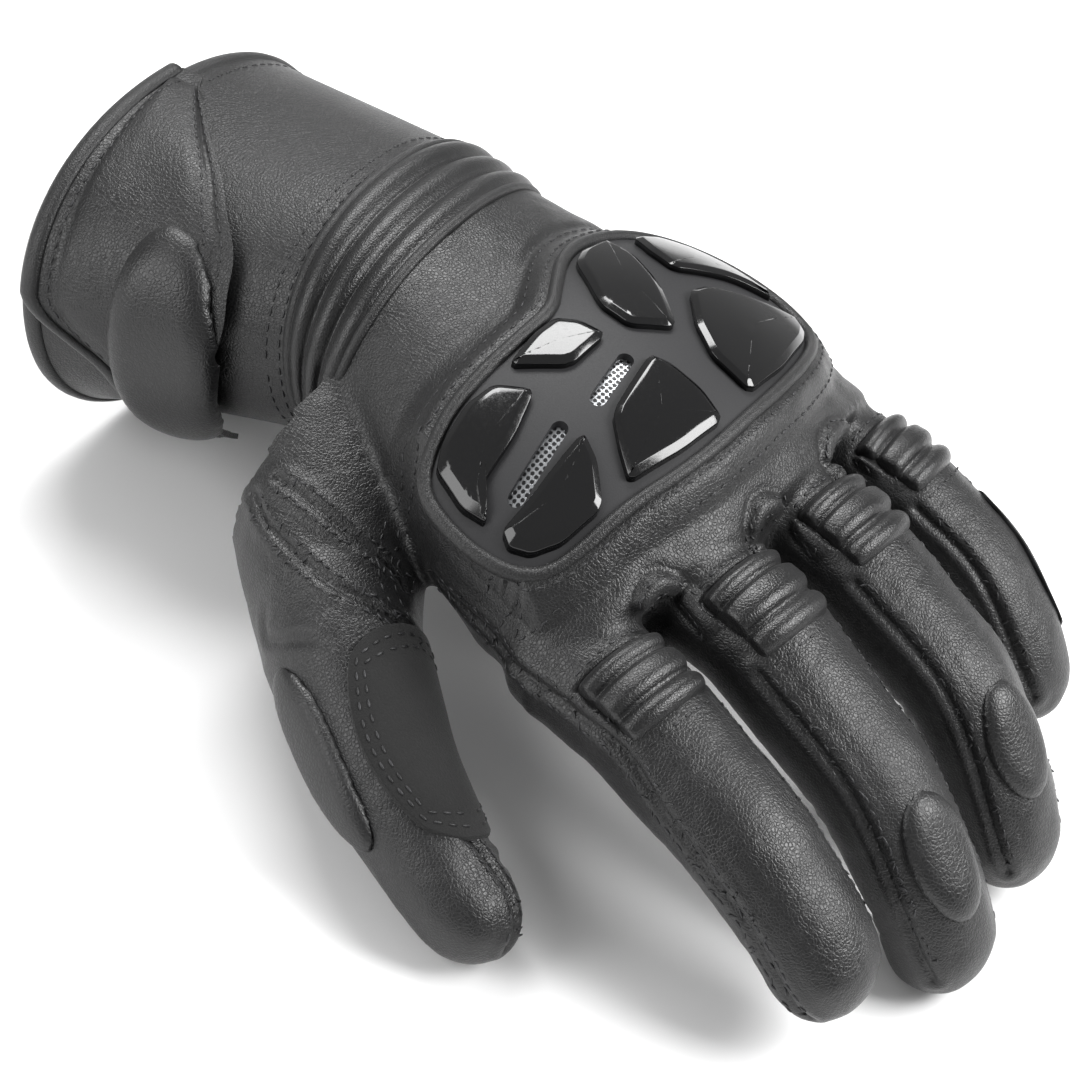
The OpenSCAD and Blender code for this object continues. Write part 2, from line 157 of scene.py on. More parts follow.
def grid_piece(name, rule, cells, thick=0.0, weld=False, flip=False, rim=0.0):
    """A grid of cells laid by rule(u, v) -> (x, y, z) for u, v from 0 to 1, with a wall if thick."""
    bm = bmesh.new()
    bmesh.ops.create_grid(bm, x_segments=cells[0], y_segments=cells[1], size=0.5)
    uv = np.array([v.co[:2] for v in bm.verts]) + 0.5
    laid = np.stack(np.broadcast_arrays(*rule(uv[:, 0], uv[:, 1])), 1)
    for v, p in zip(bm.verts, (laid + wrist) * MM):
        v.co = p
    if weld:
        bmesh.ops.remove_doubles(bm, verts=bm.verts, dist=0.02 * MM)
    if flip:
        bmesh.ops.reverse_faces(bm, faces=bm.faces)
    if thick:
        bmesh.ops.solidify(bm, geom=bm.faces, thickness=thick * MM)
    piece = linked(smooth_mesh(bm, name), name)
    if rim:
        edge = piece.modifiers.new("worn edge", "BEVEL")
        edge.width = rim * MM
        edge.segments = 3
        edge.limit_method = "ANGLE"
        edge.angle_limit = math.radians(50)
    return piece


def applied(piece):
    """The piece with its modifiers worked into its mesh."""
    seen = piece.evaluated_get(bpy.context.evaluated_depsgraph_get())
    mesh = bpy.data.meshes.new_from_object(seen)
    piece.modifiers.clear()
    piece.data = mesh
    mesh.polygons.foreach_set("use_smooth", [True] * len(mesh.polygons))
    return piece


def modified(piece, kind, **settings):
    m = piece.modifiers.new(kind.lower(), kind)
    for key, value in settings.items():
        setattr(m, key, value)
    return applied(piece)


# %% [markdown]
# ## The digits as tubes
# A gloved finger is a bent tube: its centre line leaves the knuckle and turns down at each joint.
# One rule serves all five, and the thumb is the same tube, rolled so that its nail side faces out.

# %% Sizes of the hand and the digits
KNUCKLE_W, KNUCKLE_H = 122, 29
PALM_W, PALM_H = 94, 54
WRIST_W, WRIST_H = 78, 58
MOUTH_W, MOUTH_H, CUFF_L = 102, 70, 57
HAND_L, STUB_L, WRIST_GAP = 114, 10, 12
WRIST_SLANT = 0.17
CUFF_TILT, CUFF_TURN = 13.7, 8.6
SHELL_START = 11
DIGITS = {
    "index": dict(w=27, h=24, x=46, turn=-3, bends=[16, 16, 14], parts=[33, 21, 18]),
    "middle": dict(w=27, h=24, x=16, turn=0, bends=[24, 19, 17], parts=[39, 27, 20]),
    "ring": dict(w=26, h=23, x=-16, turn=3, bends=[21, 25, 16], parts=[37, 26, 20]),
    "little": dict(w=24, h=21, x=-47, turn=10, bends=[19, 22, 15], parts=[27, 19, 17]),
    "thumb": dict(w=31, h=32, turn=-30, pitch=-13, roll=70, bends=[6, 12, 10], parts=[28, 24, 18]),
}
FINGERS = ["index", "middle", "ring", "little"]


def arch(x):
    return 1.8 - 0.0031 * (x + 8) ** 2


def knuckle_line(x):
    return HAND_L - 0.003 * (x - 14) ** 2


STEP = 1.0
for name, g in DIGITS.items():
    g["base"] = np.array(joints[name + "_flex"]["pos_m"]) / MM - wrist
    if name != "thumb":
        g["pitch"] = 0
        g["roll"] = 0.5 * math.degrees(math.atan(0.0062 * (g["x"] + 8)))
    g["taper"] = 0.66 if name == "thumb" else 0.86
    b, l = g["bends"], g["parts"]
    g["long"] = sum(l)
    g["bend_table"] = [
        (-7, 0), (7, b[0]), (l[0] - 6, b[0]), (l[0] + 6, b[0] + b[1]),
        (l[0] + l[1] - 5, b[0] + b[1]), (l[0] + l[1] + 5, sum(b)),
    ]
    s = np.arange(0, g["long"] + 3, STEP)
    slope = np.radians(table(s + STEP / 2, g["bend_table"]))
    g["path_s"] = s
    g["path_y"] = np.concatenate([[0], np.cumsum(np.cos(slope))[:-1]]) * STEP
    g["path_z"] = np.concatenate([[0], -np.cumsum(np.sin(slope))[:-1]]) * STEP


def out_of(g, p):
    p = turned(turned(turned(p, "y", g["roll"]), "x", g["pitch"]), "z", g["turn"])
    return p + g["base"][:, None]


def into(g, p):
    p = p - g["base"][:, None]
    return turned(turned(turned(p, "z", -g["turn"]), "x", -g["pitch"]), "y", -g["roll"])


def girth(g, s):
    r = 0.46 * g["w"]
    x = np.clip((s - (g["long"] - r)) / r, 0, 1)
    return mix(
        1, g["taper"], np.clip(s / (g["long"] - r), 0, 1)
    ) * np.sqrt(np.maximum(0, 1 - x * x))


def digit_at(g, s, a, proud=0.0):
    e = girth(g, s)
    px, pz = rounded(
        a,
        g["w"] / 2 * e + proud * np.minimum(1, 1.2 * e),
        g["h"] / 2 * e + proud * np.minimum(1, 1.2 * e),
        0.9
    )
    bend = np.radians(np.where(s < 0, 0, table(s, g["bend_table"])))
    y = np.where(s < 0, s, np.interp(s, g["path_s"], g["path_y"]))
    z = np.where(s < 0, 0, np.interp(s, g["path_s"], g["path_z"]))
    return out_of(g, np.array([px, y + pz * np.sin(bend), z + pz * np.cos(bend)]))


def hand_at(u, a, proud=0.0):
    u, a = np.broadcast_arrays(np.asarray(u, float), a)
    w = table(
        u, [(0, WRIST_W), (0.35, PALM_W), (0.75, (PALM_W + KNUCKLE_W) / 2), (1, KNUCKLE_W)]
    ) / 2
    h = table(
        u, [(0, WRIST_H), (0.35, PALM_H), (0.75, mix(PALM_H, KNUCKLE_H, 0.4)), (1, KNUCKLE_H)]
    ) / 2
    px, pz = rounded(a, w + proud, h + proud, mix(0.9, 0.5, u**3))
    return np.array([
        px,
        mix(1 + WRIST_GAP + WRIST_SLANT * px, knuckle_line(px) - STUB_L, u),
        pz + arch(px) * np.abs(u) ** 1.5,
    ])


def cuff_at(u, a, proud=0.0):
    u, a = np.broadcast_arrays(np.asarray(u, float), a)
    e = np.maximum(0, u) ** 0.8
    px, pz = rounded(
        a, mix(MOUTH_W, WRIST_W, e) / 2 + proud, mix(MOUTH_H, WRIST_H, e) / 2 + proud, 0.92
    )
    p = np.array([px - 1.4, mix(-CUFF_L, 1, u), pz - 1.8 * (1 - u)])
    return turned(turned(p, "x", CUFF_TILT), "z", CUFF_TURN)


def wrist_at(u, a, proud=0.0):
    return mix(cuff_at(1, a, proud), hand_at(0, a, proud), u)


print({n: (g["long"], g["base"].round(1).tolist()) for n, g in DIGITS.items()})

# %% [markdown]
# ## One skin for the hand
# The shell is sewn from many panels, but they pull into one smooth form over a hand. So the hand,
# five digits and the ball of the thumb are closed tubes, joined by a voxel remesh and eased. Seams,
# welts and pads come after it, because a remesh would wipe them out.


# %% Join the tubes into one skin
def closed_tube(rule, cells):
    """A tube with both ends drawn in to a point; rule(u, a, share) takes the share of its girth."""
    pull = 0.04

    def laid(u, v):
        ends = np.clip(np.minimum(u, 1 - u) / pull, 0, 1)
        return rule(np.clip((u - pull) / (1 - 2 * pull), 0, 1), v * 360, ends)

    return grid_piece("tube", laid, cells, weld=True)


def hand_tube(u, a, share):
    p = hand_at(mix(-0.12, 1, u), a)
    under = smooth(u, 0.72, 1) * smooth(-np.sin(np.radians(a)), -0.1, 0.5)
    p[0] *= 1 - 0.16 * under
    p[2] += 0.3 * KNUCKLE_H * under * np.abs(np.cos(np.radians(a)))
    centre = np.array([np.zeros_like(a), p[1], arch(0) * np.ones_like(a)])
    return mix(centre, p, share)


def finger_tube(g, start):
    def rule(u, a, share):
        s = mix(start, g["long"], u)
        p = digit_at(g, s, a)
        middle = (p + digit_at(g, s, a + 180)) / 2
        return mix(middle, p, share)

    return rule


def ball_of_thumb(u, a, share):
    way = [
        (0, 24, 2, -8, 23), (0.35, 40, 24, -14, 22.5), (0.7, 55, 41, -19, 19),
        (1, 66, 56, -24, 15.5)
    ]
    x, y, z, r = [table(u, [(w[0], w[i]) for w in way]) for i in (1, 2, 3, 4)]
    px, pz = rounded(a, r * share, r * 0.92 * share, 1)
    heading = math.radians(-38)
    return np.array([x + px * math.cos(heading), y + px * math.sin(heading), z + pz])


tubes = [closed_tube(hand_tube, (60, 96)), closed_tube(ball_of_thumb, (40, 64))]
for name, g in DIGITS.items():
    tubes.append(closed_tube(finger_tube(g, -22 if name != "thumb" else -14), (80, 64)))
bm = bmesh.new()
for t in tubes:
    bm.from_mesh(t.data)
    bpy.data.objects.remove(t)
bmesh.ops.recalc_face_normals(bm, faces=bm.faces)
joined = bpy.data.meshes.new("skin")
bm.to_mesh(joined)
bm.free()
skin = linked(joined, "skin")
modified(skin, "REMESH", mode="VOXEL", voxel_size=1.3 * MM, use_smooth_shade=True)
modified(skin, "SMOOTH", factor=0.6, iterations=9)
print("skin faces:", len(skin.data.polygons))

# %% [markdown]
# ## Cutting the skin at the joints
# Each finger has to turn on its knuckle, so the skin is cut across each digit's base and halfway
# between neighbours. `bisect_plane` adds the edges, and a face's material index remembers its digit.


# %% Cut lines and labels
CUT_AT = {"index": -6, "middle": -6, "ring": -6, "little": -6, "thumb": -5}
LABELS = ["hand"] + list(DIGITS)


def straight(g, p):
    """The place of points beside the digit's own straight axis: across, along, above."""
    return into(g, p.T)


def from_axis(g, p):
    line = out_of(g, np.array([0 * g["path_s"], g["path_y"], g["path_z"]])).T[::4]
    return np.sqrt(((p[:, None] - line[None]) ** 2).sum(2)).min(1)


def between(k):
    """A point and a direction of the plane halfway between finger k and the next."""
    a, b = DIGITS[FINGERS[k]], DIGITS[FINGERS[k + 1]]
    side = turned(np.array([1.0, 0, 0]), "z", (a["turn"] + b["turn"]) / 2)
    return (a["base"] + b["base"]) / 2, side


def labels_of(p):
    label = np.zeros(len(p), int)
    for k, name in enumerate(FINGERS):
        g = DIGITS[name]
        mine = straight(g, p)[1] > CUT_AT[name]
        if k > 0:
            at, side = between(k - 1)
            mine &= (p - at) @ side < 0
        if k < 3:
            at, side = between(k)
            mine &= (p - at) @ side >= 0
        label[mine] = k + 1
    g = DIGITS["thumb"]
    near = from_axis(g, p) < 25
    label[near & (straight(g, p)[1] > CUT_AT["thumb"])] = 5
    label[near & (straight(g, p)[1] <= CUT_AT["thumb"])] = 0
    return label


def along(g):
    return out_of(g, np.array([[0.0], [1.0], [0.0]]))[:, 0] - g["base"]


bm = bmesh.new()
bm.from_mesh(skin.data)


def cut(at, way, close):
    """Edges where the plane meets the faces whose centres pass the test."""
    centres = np.array([f.calc_center_median() for f in bm.faces]) / MM - wrist
    keep = close(centres)
    faces = [f for f, k in zip(bm.faces, keep) if k]
    geom = set(faces) | {e for f in faces for e in f.edges} | {v for f in faces for v in f.verts}
    bmesh.ops.bisect_plane(
        bm, geom=list(geom), dist=1e-6, plane_co=Vector((at + wrist) * MM), plane_no=Vector(way)
    )


for name, g in DIGITS.items():
    def close(c, g=g, name=name):
        q = straight(g, c)
        return (abs(q[1] - CUT_AT[name]) < 4) & (from_axis(g, c) < (26 if name == "thumb" else 20))
    cut(g["base"] + along(g) * CUT_AT[name], along(g), close)
for k in range(3):
    at, side = between(k)
    g = DIGITS[FINGERS[k]]
    cut(at, side, lambda c: (abs((c - at) @ side) < 3) & (abs(straight(g, c)[1]) < 14))


def behind_wrist(face):
    centre = face.calc_center_median()
    return (centre.y / MM - wrist[1]) < SHELL_START + WRIST_SLANT * (centre.x / MM - wrist[0])


bmesh.ops.delete(bm, geom=[f for f in bm.faces if behind_wrist(f)], context="FACES")
bm.to_mesh(skin.data)
bm.free()
centres = np.array([f.center for f in skin.data.polygons]) / MM - wrist
for _ in LABELS:
    skin.data.materials.append(bpy.data.materials.new("label"))
skin.data.polygons.foreach_set("material_index", labels_of(centres))
modified(skin, "SUBSURF", levels=1, render_levels=1)
print(
    "skin:",
    len(skin.data.vertices),
    "vertices,",
    np.bincount([f.material_index for f in skin.data.polygons])
)

# %% [markdown]
# ## The leather's relief
# A seam is a valley between two soft lips, and a welt is a rounded ridge. Both are lines laid on the
# skin: each vertex near a line moves along its normal by a profile of its distance from the line.


# %% Lines on the skin
def tree_of(piece):
    return BVHTree.FromObject(piece, bpy.context.evaluated_depsgraph_get())


def curve_through(points, step=0.8, closed=False):
    """Points spaced evenly on a smooth curve through the given ones."""
    p = np.array(points, float)
    ends = [p[-1], p[0], p[1]] if closed else [2 * p[0] - p[1], p[-1], 2 * p[-1] - p[-2]]
    q = np.vstack([ends[0], p, ends[1:]]) if closed else np.vstack([ends[0], p, ends[2]])
    t = np.linspace(0, 1, 12, endpoint=False)[:, None]
    bits = []
    for a, b, c, d in zip(q[:-3], q[1:-2], q[2:-1], q[3:]):
        bits.append(
            0.5 * (
                2 * b + (c - a) * t + (
                    2 * a - 5 * b + 4 * c - d
                ) * t**2 + (3 * b - a - 3 * c + d) * t**3
            )
        )
    line = np.vstack(bits + [p[:1] if closed else p[-1:]])
    far = np.concatenate([[0], np.cumsum(np.linalg.norm(np.diff(line, axis=0), axis=1))])
    even = np.linspace(0, far[-1], max(3, int(far[-1] / step)))
    return np.stack([np.interp(even, far, line[:, i]) for i in range(p.shape[1])], 1)


def laid_on(tree, line):
    """The line dropped on the nearest surface, with the normals there."""
    hits = [tree.find_nearest(Vector((p + wrist) * MM)) for p in line]
    return np.array([h[0] for h in hits]) / MM - wrist, np.array([h[1] for h in hits])


def away(points, line, reach):
    """How far each point is from the line, or reach where it is further, and how far along it is."""
    far, share = np.full(len(points), float(reach)), np.zeros(len(points))
    near = np.all((points > line.min(0) - reach) & (points < line.max(0) + reach), axis=1)
    for part in np.array_split(np.flatnonzero(near), max(1, near.sum() // 3000)):
        d2 = ((points[part][:, None] - line[None]) ** 2).sum(2)
        far[part] = np.minimum(np.sqrt(d2.min(1)), reach)
        share[part] = d2.argmin(1) / (len(line) - 1)
    return far, share


def seam_profile(d):
    return -0.75 * np.exp(-((d / 0.75) ** 2)) + 0.42 * np.exp(-(((d - 2.3) / 1.5) ** 2))


def welt_profile(d):
    return 1.7 * np.exp(-((d / 1.9) ** 4)) - 0.4 * np.exp(-(((d - 3.2) / 0.8) ** 2))


def crease_profile(d):
    return -0.8 * np.exp(-((d / 1.1) ** 2)) + 0.35 * np.exp(-(((d - 2.6) / 1.3) ** 2))


def on_digit(name, stops):
    g = DIGITS[name]
    s, a = np.array(stops, float).T
    return digit_at(g, s, a).T


def on_skin(tree, places_near, proud):
    """Points moved to the nearest leather, and out from it."""
    spots, ups = laid_on(tree, np.asarray(places_near).T)
    return (spots + ups * np.broadcast_to(proud, len(spots))[:, None]).T


# %% Where the seams, welts and creases run
SEAMS = {
    "hand_side": [
        [59, 27, -4], [58.5, 46, -4], [53, 62, -9], [56, 80, -6], [58.7, 102, -4], [59, 118, -4],
        [59.1, 130, -10], [58.7, 141, -15], [57.7, 155, -22.5], [53.6, 171, -37]
    ],
    "thumb_root": [
        [61, 25, -9], [66.9, 33, -8], [68.6, 51, -7], [61.8, 64.4, -10], [56.8, 69.2, -16]
    ],
}
for name in FINGERS:
    end = DIGITS[name]["long"] - 9
    SEAMS[name + "_far"] = on_digit(name, [(9, 148), (end * 0.5, 150), (end, 150)])
    if name != "index":
        SEAMS[name + "_near"] = on_digit(name, [(9, 32), (end * 0.5, 30), (end, 30)])
SEAMS["thumb_tip"] = [
    [80.5, 99.5, -25], [78, 106, -28], [77.4, 113.7, -32], [78.5, 120, -37], [82, 124, -43]
]
WELTS = {
    "welt_index_middle": [
        [41, 113, 4], [37.4, 106, 9], [34.2, 102.5, 11.8], [30.5, 104.7, 9.5], [28.8, 114, 5]
    ],
    "welt_middle_ring": [
        [9, 115, 11], [5.9, 106, 15], [3, 103.8, 16.8], [-1, 105.5, 14], [-4.2, 115, 8]
    ],
    "welt_ring_little": [
        [-22, 110, 11], [-24.4, 100.5, 15.5], [-28.4, 97.6, 16.4], [-33, 98, 13], [-38, 106, 6]
    ],
}
CREASES = [[[72, 43, -17], [77.9, 46.7, -21.3], [78.7, 54.6, -14.4], [76.1, 60.9, -10.8]]]
for name, g in DIGITS.items():
    for s0 in (g["parts"][0], g["parts"][0] + g["parts"][1]):
        for shift in (-2.6, 2.4):
            CREASES.append(
                on_digit(name, [(s0 + shift, 205), (s0 + shift * 1.5, 270), (s0 + shift, 335)])
            )
print(len(SEAMS), "seams,", len(WELTS), "welts,", len(CREASES), "creases")

# %% [markdown]
# ## A raised bed for the knuckle guard
# The hard guard is a slice of a sphere that stands on foam. The leather climbs to it in a padded
# border, so the skin is lifted to the sphere outside the guard's outline and sunk out of its way
# inside it.

# %% The guard's sphere and outline
DOME_R, DOME_TOP, WEB_T, PLATE_T = 85, 33, 1.6, 2.0
DOME_MID = np.array([0, 59])
OUTLINE = [
    [53, 57.5], [47, 53.5], [38, 50.5], [18, 49.5], [10, 48.5], [3, 43.5], [-6, 37.5], [-16, 34.5],
    [-31, 34.5], [-41, 38.5], [-45, 46.5], [-47, 56.5], [-47, 68.5], [-42, 78.5], [-21, 86.5],
    [6, 90.5], [19, 90.5], [31, 88.5], [46, 87.5], [52, 83.5], [55, 74.5], [55, 64.5],
]


def dome(xy, proud=0.0):
    r2 = ((xy - DOME_MID) ** 2).sum(-1)
    return DOME_TOP - DOME_R + np.sqrt((DOME_R + proud) ** 2 - r2)


def corner_cut(points, times=2, share=0.25):
    """Rounds a closed outline by cutting its corners."""
    p = np.array(points, float)
    for _ in range(times):
        q = np.roll(p, -1, 0)
        p = np.stack([mix(p, q, share), mix(p, q, 1 - share)], 1).reshape(-1, 2)
    return p


def outside(xy, ring):
    """How far points lie outside a closed ring, negative inside."""
    a, b = ring, np.roll(ring, -1, 0)
    run = b - a
    t = np.clip(((xy[:, None] - a) * run).sum(2) / (run**2).sum(1), 0, 1)
    d = np.sqrt(((xy[:, None] - a - t[..., None] * run) ** 2).sum(2)).min(1)
    x, y = xy[:, :1], xy[:, 1:]
    crosses = (a[:, 1] > y) != (b[:, 1] > y)
    at = a[:, 0] + (y - a[:, 1]) * run[:, 0] / np.where(run[:, 1] == 0, 1e-9, run[:, 1])
    return np.where((crosses & (x < at)).sum(1) % 2 == 1, -d, d)


guard_ring = corner_cut(OUTLINE)
points = places(skin.data)
over = np.flatnonzero(
    (points[:, 2] > 2) & (abs(points[:, 0]) < 70) & (points[:, 1] > 20) & (points[:, 1] < 104) & (
        normals(skin.data)[:, 2] > 0.1
    )
)
xy = points[over][:, :2]
gone = outside(xy, guard_ring)
z = points[over][:, 2]
lift = np.maximum(0, dome(xy, 0.5) - z) * (1 - smooth(gone, 3.5, 12.5))
sunk = np.minimum(z + lift, dome(xy, -WEB_T - 1.4))
points[over, 2] = mix(sunk, z + lift, smooth(gone, -1.2, -0.1))
put(skin.data, points)
print("guard stands", round(float(dome(guard_ring).min()), 1), "to", DOME_TOP)

# %% Move the skin along its normals
bare = tree_of(skin)
seam_lines = {name: laid_on(bare, curve_through(line))[0] for name, line in SEAMS.items()}
points, up = places(skin.data), normals(skin.data)
relief = np.zeros(len(points))
for line in seam_lines.values():
    relief += seam_profile(away(points, line, 7)[0])
for line in WELTS.values():
    far, share = away(points, laid_on(bare, curve_through(line))[0], 7)
    relief += welt_profile(far) * np.sqrt(np.sin(np.pi * share))
for line in CREASES:
    far, share = away(points, laid_on(bare, curve_through(line))[0], 6)
    relief += crease_profile(far) * np.sin(np.pi * share)
border = np.where(np.isin(np.arange(len(points)), over), 0, 99.0)
border[over] = outside(points[over][:, :2], guard_ring)
relief += 0.55 * np.exp(
    -(((border - 3.4) / 1.9) ** 2)
) - 0.5 * np.exp(-(((border - 8.2) / 1.2) ** 2))
for name, g in DIGITS.items():
    if name != "thumb":
        q = straight(g, points)
        angle = np.degrees(np.arctan2(q[2] / g["h"], q[0] / g["w"]))
        inset = smooth(abs(q[1] - 0.5), 7.5, 6) * smooth(abs(angle - 90), 52, 46)
        relief -= 1.3 * inset * (q[2] > 0) * (from_axis(g, points) < 18)
x, y, z = points.T / 9.0
relief += 0.16 * np.sin(x * 1.9 + 1.7 * np.sin(y * 1.3)) * np.sin(
    y * 1.6 + 1.3 * np.sin(z * 2.1 + x)
)
relief += 0.05 * np.sin(x * 5.1 + 2.2 * np.sin(y * 3.3)) * np.sin(z * 4.7 + 1.9 * np.sin(y * 4.1))
put(skin.data, points + up * relief[:, None])
print("relief from", relief.min().round(2), "to", relief.max().round(2), "mm")

# %% [markdown]
# ## Handing each digit its own leather
# The skin comes apart where it was labelled.


# %% Split the skin
def bends_with(piece, name):
    """Rides on the hand; a digit's piece only has its transform baked into its mesh and rides on no
    body.
    """
    if name == "hand":
        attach(piece, "hand")
        return
    g = DIGITS[name]
    start, end = [(g["base"] + along(g) * k + wrist) * MM for k in (CUT_AT[name], 6)]
    tuple(start)
    tuple(end)
    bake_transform(piece)


leather = {}
for label, name in enumerate(LABELS):
    bm = bmesh.new()
    bm.from_mesh(skin.data)
    bmesh.ops.delete(bm, geom=[f for f in bm.faces if f.material_index != label], context="FACES")
    for f in bm.faces:
        f.material_index = 0
    leather[name] = linked(smooth_mesh(bm, name + "_leather"), name + "_leather")
    bends_with(leather[name], name)
whole = tree_of(skin)
bpy.data.objects.remove(skin)
for name in FINGERS:
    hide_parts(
        *[f"{name}_{part}" for part in ("back", "front", "sidewalls", "knuckle_skin")]
    )
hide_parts("thumb_outer", "thumb_inner")
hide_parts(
    "back_panel",
    "palm_panel",
    "thumb_side_gusset",
    "thumb_root",
    "thumb_base_skin"
)
print({n: len(p.data.polygons) for n, p in leather.items()})

# %% [markdown]
# ## Pleated panels
# Over each knuckle lies a ribbed panel that lets the finger bend, and a band of the same ribs runs
# round the wrist. A rib is a rounded fold, so a panel is a grid whose height goes up and down.


# %% Ribbed panels
def ribs(u, count, height):
    """Fat rounded folds with narrow valleys, low at both ends."""
    wave = np.abs(np.sin(np.pi * count * np.clip((u - 0.08) / 0.84, 0, 1))) ** 0.6
    return height * wave - 0.5 * (smooth(u, 0.06, 0) + smooth(u, 0.94, 1))


for name in FINGERS:
    g = DIGITS[name]

    def panel(u, v, g=g):
        fall = smooth(v, 0, 0.13) * smooth(v, 1, 0.87)
        ground = digit_at(g, mix(-7.5, 8.5, u), mix(38, 142, v))
        return on_skin(bare, ground, -1.1 + fall * (0.7 + ribs(u, 3, 2.3)))

    piece = grid_piece(name + "_pleats", panel, (46, 48))
    bends_with(piece, name)
    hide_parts(name + "_stretch_panel")


def wrist_band(u, v):
    a = v * 360
    deep = 0.45 + 0.55 * smooth(np.sin(np.radians(a)), -0.5, 0.3)
    pucker = 0.35 * np.sin(np.radians(a * 26)) * smooth(np.sin(np.radians(a)), 0, -0.5)
    return wrist_at(mix(-0.16, 1.16, u), a, -0.7 + ribs(u, 3, 2.3) * deep + pucker)


band = grid_piece("wrist_pleats", wrist_band, (54, 300), weld=True)
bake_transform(band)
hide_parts("wrist_stretch_band", "wrist_gather")
print("pleats made for", FINGERS, "and the wrist")

# %% [markdown]
# ## The cuff
# The cuff is a short funnel of thicker leather, open at its wide mouth. A grid makes the funnel,
# Solidify's `bmesh` twin gives it a wall, and its mouth is closed by a folded strip of binding.


# %% Cuff, lining and bindings
def roll(name, centre, across, out, r, count, segments=14, body=None):
    """A rolled edge: a tube whose cross-section is squashed to r = (half width, half height)."""

    def laid(u, v):
        t = u * 2 * np.pi
        c, w, o = [np.stack(np.broadcast_arrays(*f(v)), 0) for f in (centre, across, out)]
        return c + w * r[0] * np.cos(t) + o * r[1] * np.sin(t)

    piece = grid_piece(name, laid, (segments, count), weld=True)
    closed_up(piece)
    if body:
        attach(piece, body)
    return piece


def cuff_wave(u, a):
    return 0.35 * np.sin(
        np.radians(a * 3 + 40)
    ) * np.sin(u * 4) + 0.12 * np.sin(np.radians(a * 11)) * u


def cuff_shell(u, v):
    a = v * 360
    return cuff_at(mix(-0.01, 1.02, u), a, cuff_wave(u, a))


cuff = grid_piece("cuff_leather", cuff_shell, (60, 200), weld=True, thick=1.2)
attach(cuff, "cuff")
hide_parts("cuff_back", "cuff_palm")


def lining_rule(u, v):
    a = v * 360
    k = u * 3
    inner = np.where(k < 1, 1, np.maximum(0, 1 - np.maximum(0, k - 2.6) / 0.4))
    first = cuff_at(np.clip(k, 0, 1), a, -2.1)
    second = wrist_at(np.clip(k - 1, 0, 1), a, -2.3)
    third = hand_at(np.clip(k - 2, 0, 1) * 0.8, a, -2.6)
    p = np.where(k < 1, first, np.where(k < 2, second, third))
    middle = np.array([0 * a, p[1], arch(0) + 0 * a])
    return mix(middle, p, np.sqrt(np.clip(inner, 0, 1)))


lining = grid_piece("knit_lining", lining_rule, (72, 96), weld=True, flip=True)
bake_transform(lining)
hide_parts("cuff_liner", "hand_liner", *[n + "_liner" for n in DIGITS])

AXIS = turned(turned(np.array([[0.0], [1], [0]]), "x", CUFF_TILT), "z", CUFF_TURN)[:, 0]


def cuff_ring(u, proud):
    return lambda v: cuff_at(u, v * 360, proud)


def cuff_out(v):
    a = v * 360
    p = cuff_at(0.3, a, 1) - cuff_at(0.3, a, 0)
    return p / np.linalg.norm(p, axis=0)


mouth = roll(
    "mouth_binding",
    cuff_ring(-0.025, -0.6),
    lambda v: AXIS[:, None] + 0 * v,
    cuff_out,
    (2.4, 1.5),
    220,
    body="cuff"
)
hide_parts("cuff_binding")
for name, rule, body in (
    ("wrist_seam_cuff", lambda v: wrist_at(-0.06, v * 360, -0.1), "cuff"),
    ("wrist_seam_hand", lambda v: wrist_at(1.05, v * 360, 0.0), "hand"),
):
    roll(name, rule, lambda v: AXIS[:, None] + 0 * v, cuff_out, (1.3, 1.0), 220, body=body)
print("cuff, lining and binding made")

# %% [markdown]
# ## The closure flap
# A broad flap wraps round the thumb side of the cuff and is held by hook and loop tape. Its free edge
# curves from the mouth to the wrist, so the grid is laid between two edge tables, eased by averaging.

# %% Flap and tapes
FLAP_LOW = [(-50, 0.4), (-20, 0.36), (-6, 0.3), (7, 0.03), (92, 0.01)]
FLAP_HIGH = [(-50, 0.62), (-19, 0.66), (13, 0.78), (38, 0.75), (61, 0.55), (83, 0.24), (92, 0.08)]
FLAP_A = (-50, 92)
FLAP_OUT, FLAP_T = 4.0, 1.6


def eased(a, pairs, spread=5):
    return sum(table(a + k * spread, pairs) for k in (-1, -0.5, 0, 0.5, 1)) / 5


def flap_at(s, t, proud):
    a = mix(*FLAP_A, t)
    return cuff_at(mix(eased(a, FLAP_LOW), eased(a, FLAP_HIGH), s), a, proud)


def flap_top(s, t):
    edge = np.minimum(np.minimum(s, 1 - s) * 30, np.minimum(t, 1 - t) * 120)
    swell = 1.0 * smooth(edge, 0, 9) - 0.5 * np.exp(-(((edge - 3) / 0.9) ** 2))
    return flap_at(
        s, t, FLAP_OUT - 0.5 + swell + 0.25 * np.sin(t * 21 + s * 5) * smooth(edge, 0, 8)
    )


flap = grid_piece("flap_leather", flap_top, (50, 150), thick=FLAP_T, rim=0.45)
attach(flap, "flap")
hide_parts("closure_flap")
hooks = grid_piece(
    "hook_tape",
    lambda s,
    t: flap_at(mix(0.17, 0.83, s), mix(0.07, 0.36, t), 2.3),
    (12, 40),
    thick=0.7
)
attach(hooks, "flap")
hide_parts("hook_patch")
loops = grid_piece(
    "loop_tape",
    lambda s,
    t: flap_at(mix(0.17, 0.83, s), mix(0.07, 0.43, t), 1.2),
    (12, 40),
    thick=0.75
)
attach(loops, "cuff")
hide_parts("loop_patch")


def flap_edge(v):
    a = mix(-20, 91, v)
    return cuff_at(eased(a, FLAP_LOW) - 0.02, a, FLAP_OUT - 0.8)


def flap_out(v):
    return cuff_out(mix(-20, 91, v) / 360)


